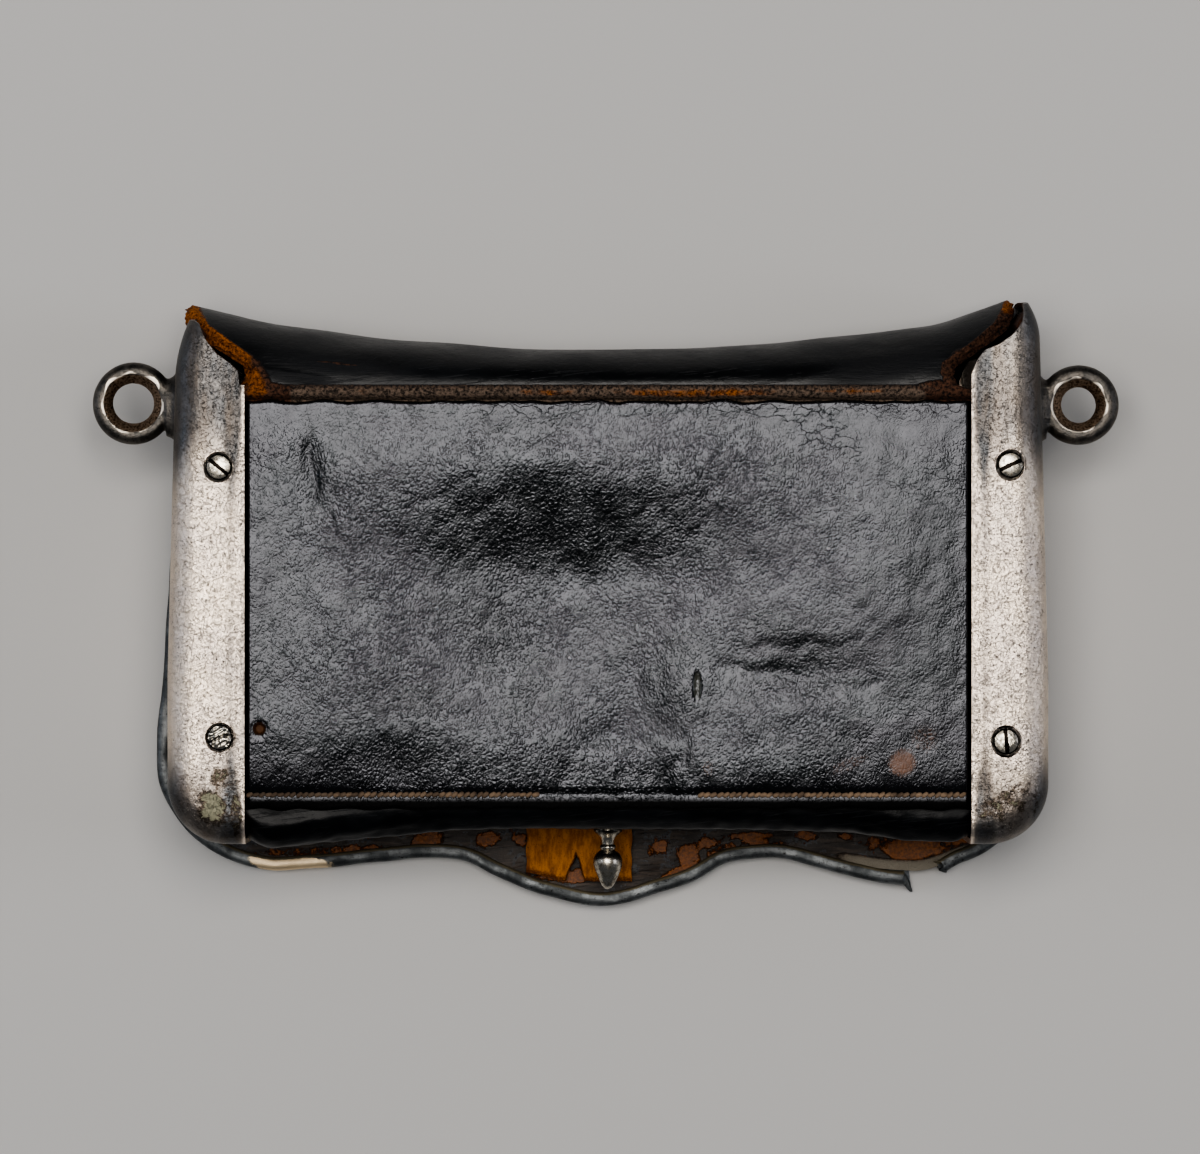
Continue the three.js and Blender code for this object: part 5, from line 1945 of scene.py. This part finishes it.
flap_height = add(tree, "Math", (flap_height, scuff_height), operation="ADD")
polished = {"IOR": 1.5, "Specular IOR Level": 0.45}
finish_with(
    tree, surface(tree, flap_colour, flap_shine, flap_height, strength=0.8, depth=0.07, more=polished)
)

add_piece("flap_leather", flap_mesh, flap_finish, ["flap"], crisp=60)

# %% [markdown]
# ## Rim of the flap
#
# A channel of grey metal is closed over the flap's edge all round. A pressed channel would be swept
# along the edge just so: its section, a thin U lying on its side, is carried along the path, and small
# dents move each section a little. The rim has broken on the right and its end is torn and bent down.

# %% Shape of the rim
RIM_TOP = 36.0
RIM_BREAK_FROM, RIM_BREAK_TO = 55.5, 62.1
# The channel's section: how far outside the leather's edge, and depth.
RIM_SECTION = np.array(
    [
        (-1.45, 4.38), (-1.2, 4.62), (-0.7, 4.78), (-0.1, 4.8), (0.45, 4.72), (0.85, 4.42), (1.05, 3.9),
        (1.1, 3.0), (1.1, 1.4), (1.0, 0.6), (0.7, 0.15), (0.2, 0.0), (-4.9, 0.0), (-4.9, 0.8),
        (0.1, 0.8), (0.3, 1.0), (0.3, 3.7), (0.1, 4.0), (-1.35, 4.0), (-1.5, 4.15),
    ]
)


def rim_path():
    """The leather's edge from the rim's upper left end round to its upper right end, evenly spaced."""
    def side_line(across):
        top = np.array([FLAP_MIDDLE + across * FRONT_TOP_HALF, HINGE_Y])
        low = lower_edge(np.array([across]), 0.0)[0]
        start = (top[1] - RIM_TOP) / (top[1] - low[1])
        return top + (low - top) * np.linspace(start, 1, 30)[:, None]

    lower = lower_edge(np.linspace(-1, 1, 700), RIM_SAG)
    path = np.concatenate([side_line(-1)[:-1], lower, side_line(1)[:-1][::-1]])
    far = np.concatenate([[0], np.cumsum(np.hypot(*np.diff(path, axis=0).T))])
    even = np.linspace(0, far[-1], 620)
    return np.stack([np.interp(even, far, path[:, 0]), np.interp(even, far, path[:, 1])], 1), even


def rim_rings():
    """Each section of the channel at its place on the path, turned outwards, with its dents."""
    path, far = rim_path()
    along = np.gradient(path, axis=0)
    along /= np.linalg.norm(along, axis=1, keepdims=True)
    outward = np.stack([along[:, 1], -along[:, 0]], 1)
    out = RIM_SECTION[:, 0] + 0.10 * waves(far[:, None], RIM_SECTION[None, :, 1], 11.0, 81)
    dent = 0.09 * waves(far[:, None], RIM_SECTION[None, :, 0] * 1.5, 5.0, 82)
    z = RIM_SECTION[:, 1] + np.where(RIM_SECTION[:, 1] > 2, dent, 0)
    plan = path[:, None] + outward[:, None] * out[..., None]
    return stack(plan[..., 0], plan[..., 1], z), path, along


rings, path, along = rim_rings()
is_long = path[:, 0] < RIM_BREAK_FROM
is_short = (path[:, 0] > RIM_BREAK_TO) & (path[:, 1] > -60)
long_rings = rings[is_long]
last = long_rings[-1]
pivot = last[9]
tongue = []
for part, shrink, drop in [(0.35, 0.2, 0.3), (0.7, 0.5, 0.9), (1.0, 0.8, 1.6)]:
    moved = last + (pivot - last) * shrink
    moved = moved + np.array([1.7 * part, -1.0 * drop, -0.15 * drop])
    tongue.append(moved)
long_rings = np.concatenate([long_rings, tongue])
jag = 0.5 * waves(np.arange(len(RIM_SECTION)), 0, 3.0, 85)
long_rings[-4:, :, 0] += jag * np.array([0.3, 0.6, 0.8, 0.4])[:, None]
short_rings = rings[is_short].copy()
short_rings[0, :, 0] += 0.6 * waves(np.arange(len(RIM_SECTION)), 3, 3.0, 86)
long_rings[..., 2] = np.maximum(long_rings[..., 2], 0.02)

# %% Grey rim metal
rim_metal, tree = new_material("white_metal_tarnished_grey")
place = millimetres(tree)
cloud = add(tree, "TexNoise", {"Vector": place, "Scale": 0.16, "Detail": 5.0, "Roughness": 0.65})
grain = add(tree, "TexNoise", {"Vector": place, "Scale": 1.6, "Detail": 6.0, "Roughness": 0.7})
rim_colour = add(
    tree,
    "Mix",
    {0: add(tree, "MapRange", (cloud, 0.38, 0.62), **SOFT), 6: colour(0x86898A), 7: colour(0x5E6162)},
    **COLOURS,
)
rim_colour = add(
    tree,
    "Mix",
    {0: add(tree, "MapRange", (grain, 0.56, 0.70), **SOFT), 6: rim_colour, 7: colour(0x2A2825)},
    **COLOURS,
)
rubbed = add(
    tree,
    "Math",
    (
        add(tree, "TexNoise", {"Vector": place, "Scale": 0.7, "Detail": 5.0, "Roughness": 0.7}),
        1.2,
        add(tree, "Attribute", attribute_name="bright", output=FACTOR),
    ),
    operation="MULTIPLY_ADD",
)
rim_colour = add(
    tree,
    "Mix",
    {0: add(tree, "MapRange", (rubbed, 1.0, 1.3), **SOFT), 6: rim_colour, 7: colour(0xF0DCBC)},
    **COLOURS,
)
crumbs = add(
    tree,
    "Math",
    (grain, 0.9, add(tree, "Attribute", attribute_name="crumbs", output=FACTOR)),
    operation="MULTIPLY_ADD",
)
crumbs = add(tree, "MapRange", (crumbs, 0.85, 1.1), **SOFT)
rim_colour = add(tree, "Mix", {0: crumbs, 6: rim_colour, 7: colour(0x8E8672)}, **COLOURS)
rim_rough = add(
    tree,
    "Math",
    (crumbs, 0.2, add(tree, "MapRange", (cloud, 0.3, 0.7, 0.48, 0.60), **SOFT)),
    operation="MULTIPLY_ADD",
)
rim_height = add(
    tree,
    "Math",
    (cloud, 2.0, add(tree, "Math", (grain, 1.2), operation="MULTIPLY")),
    operation="MULTIPLY_ADD",
)
finish_with(tree, surface(tree, rim_colour, rim_rough, rim_height, strength=0.8, depth=0.08, more=METALLIC))

for name, some_rings in [("flap_rim", long_rings), ("flap_rim_right", short_rings)]:
    points, quads = loft(some_rings)
    section = np.concatenate([np.full(len(RIM_SECTION), 1.0), np.tile(RIM_SECTION[:, 0], len(some_rings))])
    section = np.concatenate([section, np.full(len(RIM_SECTION), 1.0)])
    upper_side = smoothstep(points[:, 2], 3.6, 4.2)
    rubbed = patches(points[:, 0], points[:, 1], [(-59.0, -48.4, 8.5, 2.4, -9, 1.3)]) * smoothstep(
        section, -1.3, -0.7
    )
    values = {"bright": rubbed, "crumbs": (1 - smoothstep(section, -1.4, -0.6)) * upper_side}
    rim_mesh = make_mesh(name, points, quads, values)
    add_piece(name + "_channel", rim_mesh, rim_metal, [name], crisp=50)

# %% [markdown]
# ## Closing tab
#
# A tongue of tan leather is sewn inside the flap and buttons on the knob through its V notch. Its grid
# has upright columns, and each column ends where the tab's outline ends, so the notch is cut clean.

# %% Make the closing tab
TAB_LEATHER = 1.8
TAB_LEFT, TAB_RIGHT, TAB_HIGH = -15.1, 4.5, -20.0
TAB_OUTLINE = np.array(
    [(TAB_LEFT, -49.9), (-7.9, -51.6), (-5.8, -46.6), (-4.3, -51.6), (TAB_RIGHT, -51.6)]
)

tab_x = np.unique(np.concatenate([bunched(TAB_LEFT, TAB_RIGHT, 110, [-6.0], 2.6, 3.0), TAB_OUTLINE[:, 0]]))
tab_low = np.interp(tab_x, TAB_OUTLINE[:, 0], TAB_OUTLINE[:, 1]) + 0.10 * waves(tab_x, 0 * tab_x, 1.6, 91)
tab_row = np.linspace(0, 1, 70)[:, None] ** 0.7
tab_y = TAB_HIGH + (tab_low - TAB_HIGH) * tab_row
tab_x = tab_x + 0 * tab_y + 0.12 * waves(0 * tab_y, tab_y, 3.0, 92)
tab_waves = 0.10 * waves(tab_x, tab_y, 6.0, 93)
tab_edge = np.minimum(tab_y - tab_low, np.minimum(tab_x - TAB_LEFT, TAB_RIGHT - tab_x))
tab_round = 0.35 * (1 - smoothstep(tab_edge, 0, 0.6))
tab_base = FLAP_INSIDE + GAP
tab_over = stack(tab_x, tab_y, tab_base + TAB_LEATHER - tab_round + tab_waves)
tab_under = stack(tab_x, tab_y, tab_base + 0 * tab_y)
worn_edge = 1 - smoothstep(tab_y - tab_low, 0.1, 1.4)
tab_mesh = make_mesh(
    "closing_tab",
    *wall(tab_over, tab_under),
    {"worn": np.concatenate([worn_edge.ravel(), 0 * worn_edge.ravel()])},
)

tan_leather, tree = new_material("tan_leather_oiled")
place = millimetres(tree)
worn_value = add(tree, "Attribute", attribute_name="worn", output=FACTOR)
down_place = add(tree, "Mapping", {"Vector": place, "Scale": (1.4, 0.4, 1.0)})
streak = add(tree, "TexNoise", {"Vector": down_place, "Scale": 0.8, "Detail": 5.0, "Roughness": 0.65})
speckle = add(tree, "TexNoise", {"Vector": place, "Scale": 2.4, "Detail": 5.0, "Roughness": 0.7})
tan = add(
    tree,
    "Mix",
    {0: add(tree, "MapRange", (streak, 0.35, 0.68), **SOFT), 6: colour(0xC07A1C), 7: colour(0x8A5010)},
    **COLOURS,
)
tan = add(
    tree,
    "Mix",
    {0: add(tree, "MapRange", (speckle, 0.56, 0.72), **SOFT), 6: tan, 7: colour(0x5A3008)},
    **COLOURS,
)
crumb = add(
    tree,
    "Math",
    (worn_value, add(tree, "MapRange", (speckle, 0.35, 0.6), **SOFT)),
    operation="MULTIPLY",
)
tan = add(tree, "Mix", {0: crumb, 6: tan, 7: colour(0x6A3408)}, **COLOURS)
tan_height = add(tree, "Math", (crumb, -1.5, speckle), operation="MULTIPLY_ADD")
finish_with(tree, surface(tree, tan, 0.62, tan_height, strength=1.0, depth=0.15))
add_piece("closing_tab_leather", tab_mesh, tan_leather, ["closing_tab"], crisp=50)

# %% [markdown]
# ## Knob
#
# The finial is turned from one rod of dark metal: a riveted end inside the pouch, a collar, a thin neck
# with a bead, and an acorn-shaped head. A smooth curve through the turner's radii, carried round its
# axis, gives the whole body.

# %% Make the knob
KNOB_DEPTH, KNOB_TOP = 15.0, -40.6
# Distance below the pouch's bottom, and radius.
KNOB = np.array(
    [
        (-3.3, 2.4), (-2.5, 2.4), (-2.45, 1.2), (0.25, 1.2), (0.3, 2.45), (0.7, 2.62), (1.2, 2.6), (1.5, 2.3),
        (1.8, 1.9), (2.3, 1.4), (2.8, 1.2), (3.6, 1.15), (3.85, 1.38), (4.1, 1.5), (4.35, 1.42), (4.6, 1.25),
        (4.9, 1.6), (5.3, 2.15), (5.9, 2.55), (6.5, 2.7), (7.3, 2.66), (8.2, 2.42), (9.1, 2.05), (10.0, 1.68),
        (10.7, 1.35), (11.2, 1.08), (11.6, 0.68), (11.85, 0.3), (11.9, 0.01),
    ]
)
turned = lathe(np.concatenate([[(0.01, -3.3)], KNOB[:, ::-1]]), 72)
knob_points = stack(turned[..., 0], KNOB_TOP - turned[..., 2], KNOB_DEPTH + turned[..., 1])
knob_points[..., 0] += 0.05 * waves(turned[..., 2], 0, 5.0, 95)
knob_points, knob_quads = loft(knob_points)
# Darker at and above the collar next to the pouch, and a painted shade in the groove under the bead.
hollow = smoothstep(knob_points[:, 1], -43.2, -42.0) * 0.6 + 0.35 * np.exp(
    -((knob_points[:, 1] + 45.3) / 0.4) ** 2
)
knob_mesh = make_mesh("closure_knob", knob_points, knob_quads, {"darkening": hollow})
add_piece("closure_knob_turned", knob_mesh, dark_steel, ["closure_knob"], crisp=45)

# %% [markdown]
# ## Stitches
#
# Waxed linen thread joins the panel to the lip below it. On the back the stitches lie end to end, each
# a little aslant, so the seam looks like a thin rope. Each is a small capsule: a circle carried along a
# short line and drawn in at both ends. In the middle of the seam the thread has worn away.

# %% Make the stitches
STITCH_PITCH, STITCH_LENGTH, STITCH_HALF = 1.12, 1.50, 0.44


def stitch_rings(x, slant, size):
    """One capsule along the seam: a circle whose radius is drawn in at both ends."""
    t = np.linspace(-1, 1, 9)[:, None]
    around = np.linspace(0, 2 * np.pi, 9)[:-1]
    radius = STITCH_HALF * size * np.sqrt(np.clip(1 - np.abs(t) ** 3.0, 0.001, 1))
    lie = panel_height(np.array([x]), np.array([SEAM_Y]))[0] - 0.12
    along = t * STITCH_LENGTH / 2
    thread_x = x + along * np.cos(slant) - radius * np.cos(around) * np.sin(slant)
    thread_y = SEAM_Y + along * np.sin(slant) + radius * np.cos(around) * np.cos(slant)
    return stack(thread_x, thread_y, lie + 0.12 * (1 - t**2) + radius * np.sin(around))


chance = np.random.default_rng(97)
stitch_parts, stitch_tone = [], []
for start, stop in [(-64.6, -12.6), (16.8, 64.4)]:
    for x in np.arange(start, stop, STITCH_PITCH):
        size = 1.0 + chance.uniform(-0.12, 0.08)
        faded = x < -50
        rings_here = stitch_rings(
            x + chance.uniform(-0.1, 0.1), np.radians(24 + chance.uniform(-14, 14)), size
        )
        rings_here[..., 2] -= 0.2 * faded
        points, quads = loft(rings_here)
        stitch_parts.append((points, quads))
        stitch_tone.append(
            np.full(len(points), chance.uniform(0, 0.5) + (0.5 if x > 0 else 0.25) - 0.5 * faded)
        )
thread_mesh = make_mesh("seam_thread", *join(stitch_parts), {"tone": np.concatenate(stitch_tone)})

thread, tree = new_material("linen_thread_waxed")
place = millimetres(tree)
tone_value = add(tree, "Attribute", attribute_name="tone", output=FACTOR)
fuzz = add(tree, "TexNoise", {"Vector": place, "Scale": 3.0, "Detail": 4.0, "Roughness": 0.6})
darkening = add(tree, "TexNoise", {"Vector": place, "Scale": 0.25, "Detail": 3.0, "Roughness": 0.6})
thread_colour = add(tree, "Mix", {0: tone_value, 6: colour(0x5C4E41), 7: colour(0x9E866E)}, **COLOURS)
thread_colour = add(
    tree,
    "Mix",
    {0: add(tree, "MapRange", (darkening, 0.45, 0.7), **SOFT), 6: thread_colour, 7: colour(0x5C4C3E)},
    **COLOURS,
)
finish_with(tree, surface(tree, thread_colour, 0.75, fuzz, strength=1.0, depth=0.12))
add_piece("seam_thread", thread_mesh, thread, [], crisp=60)
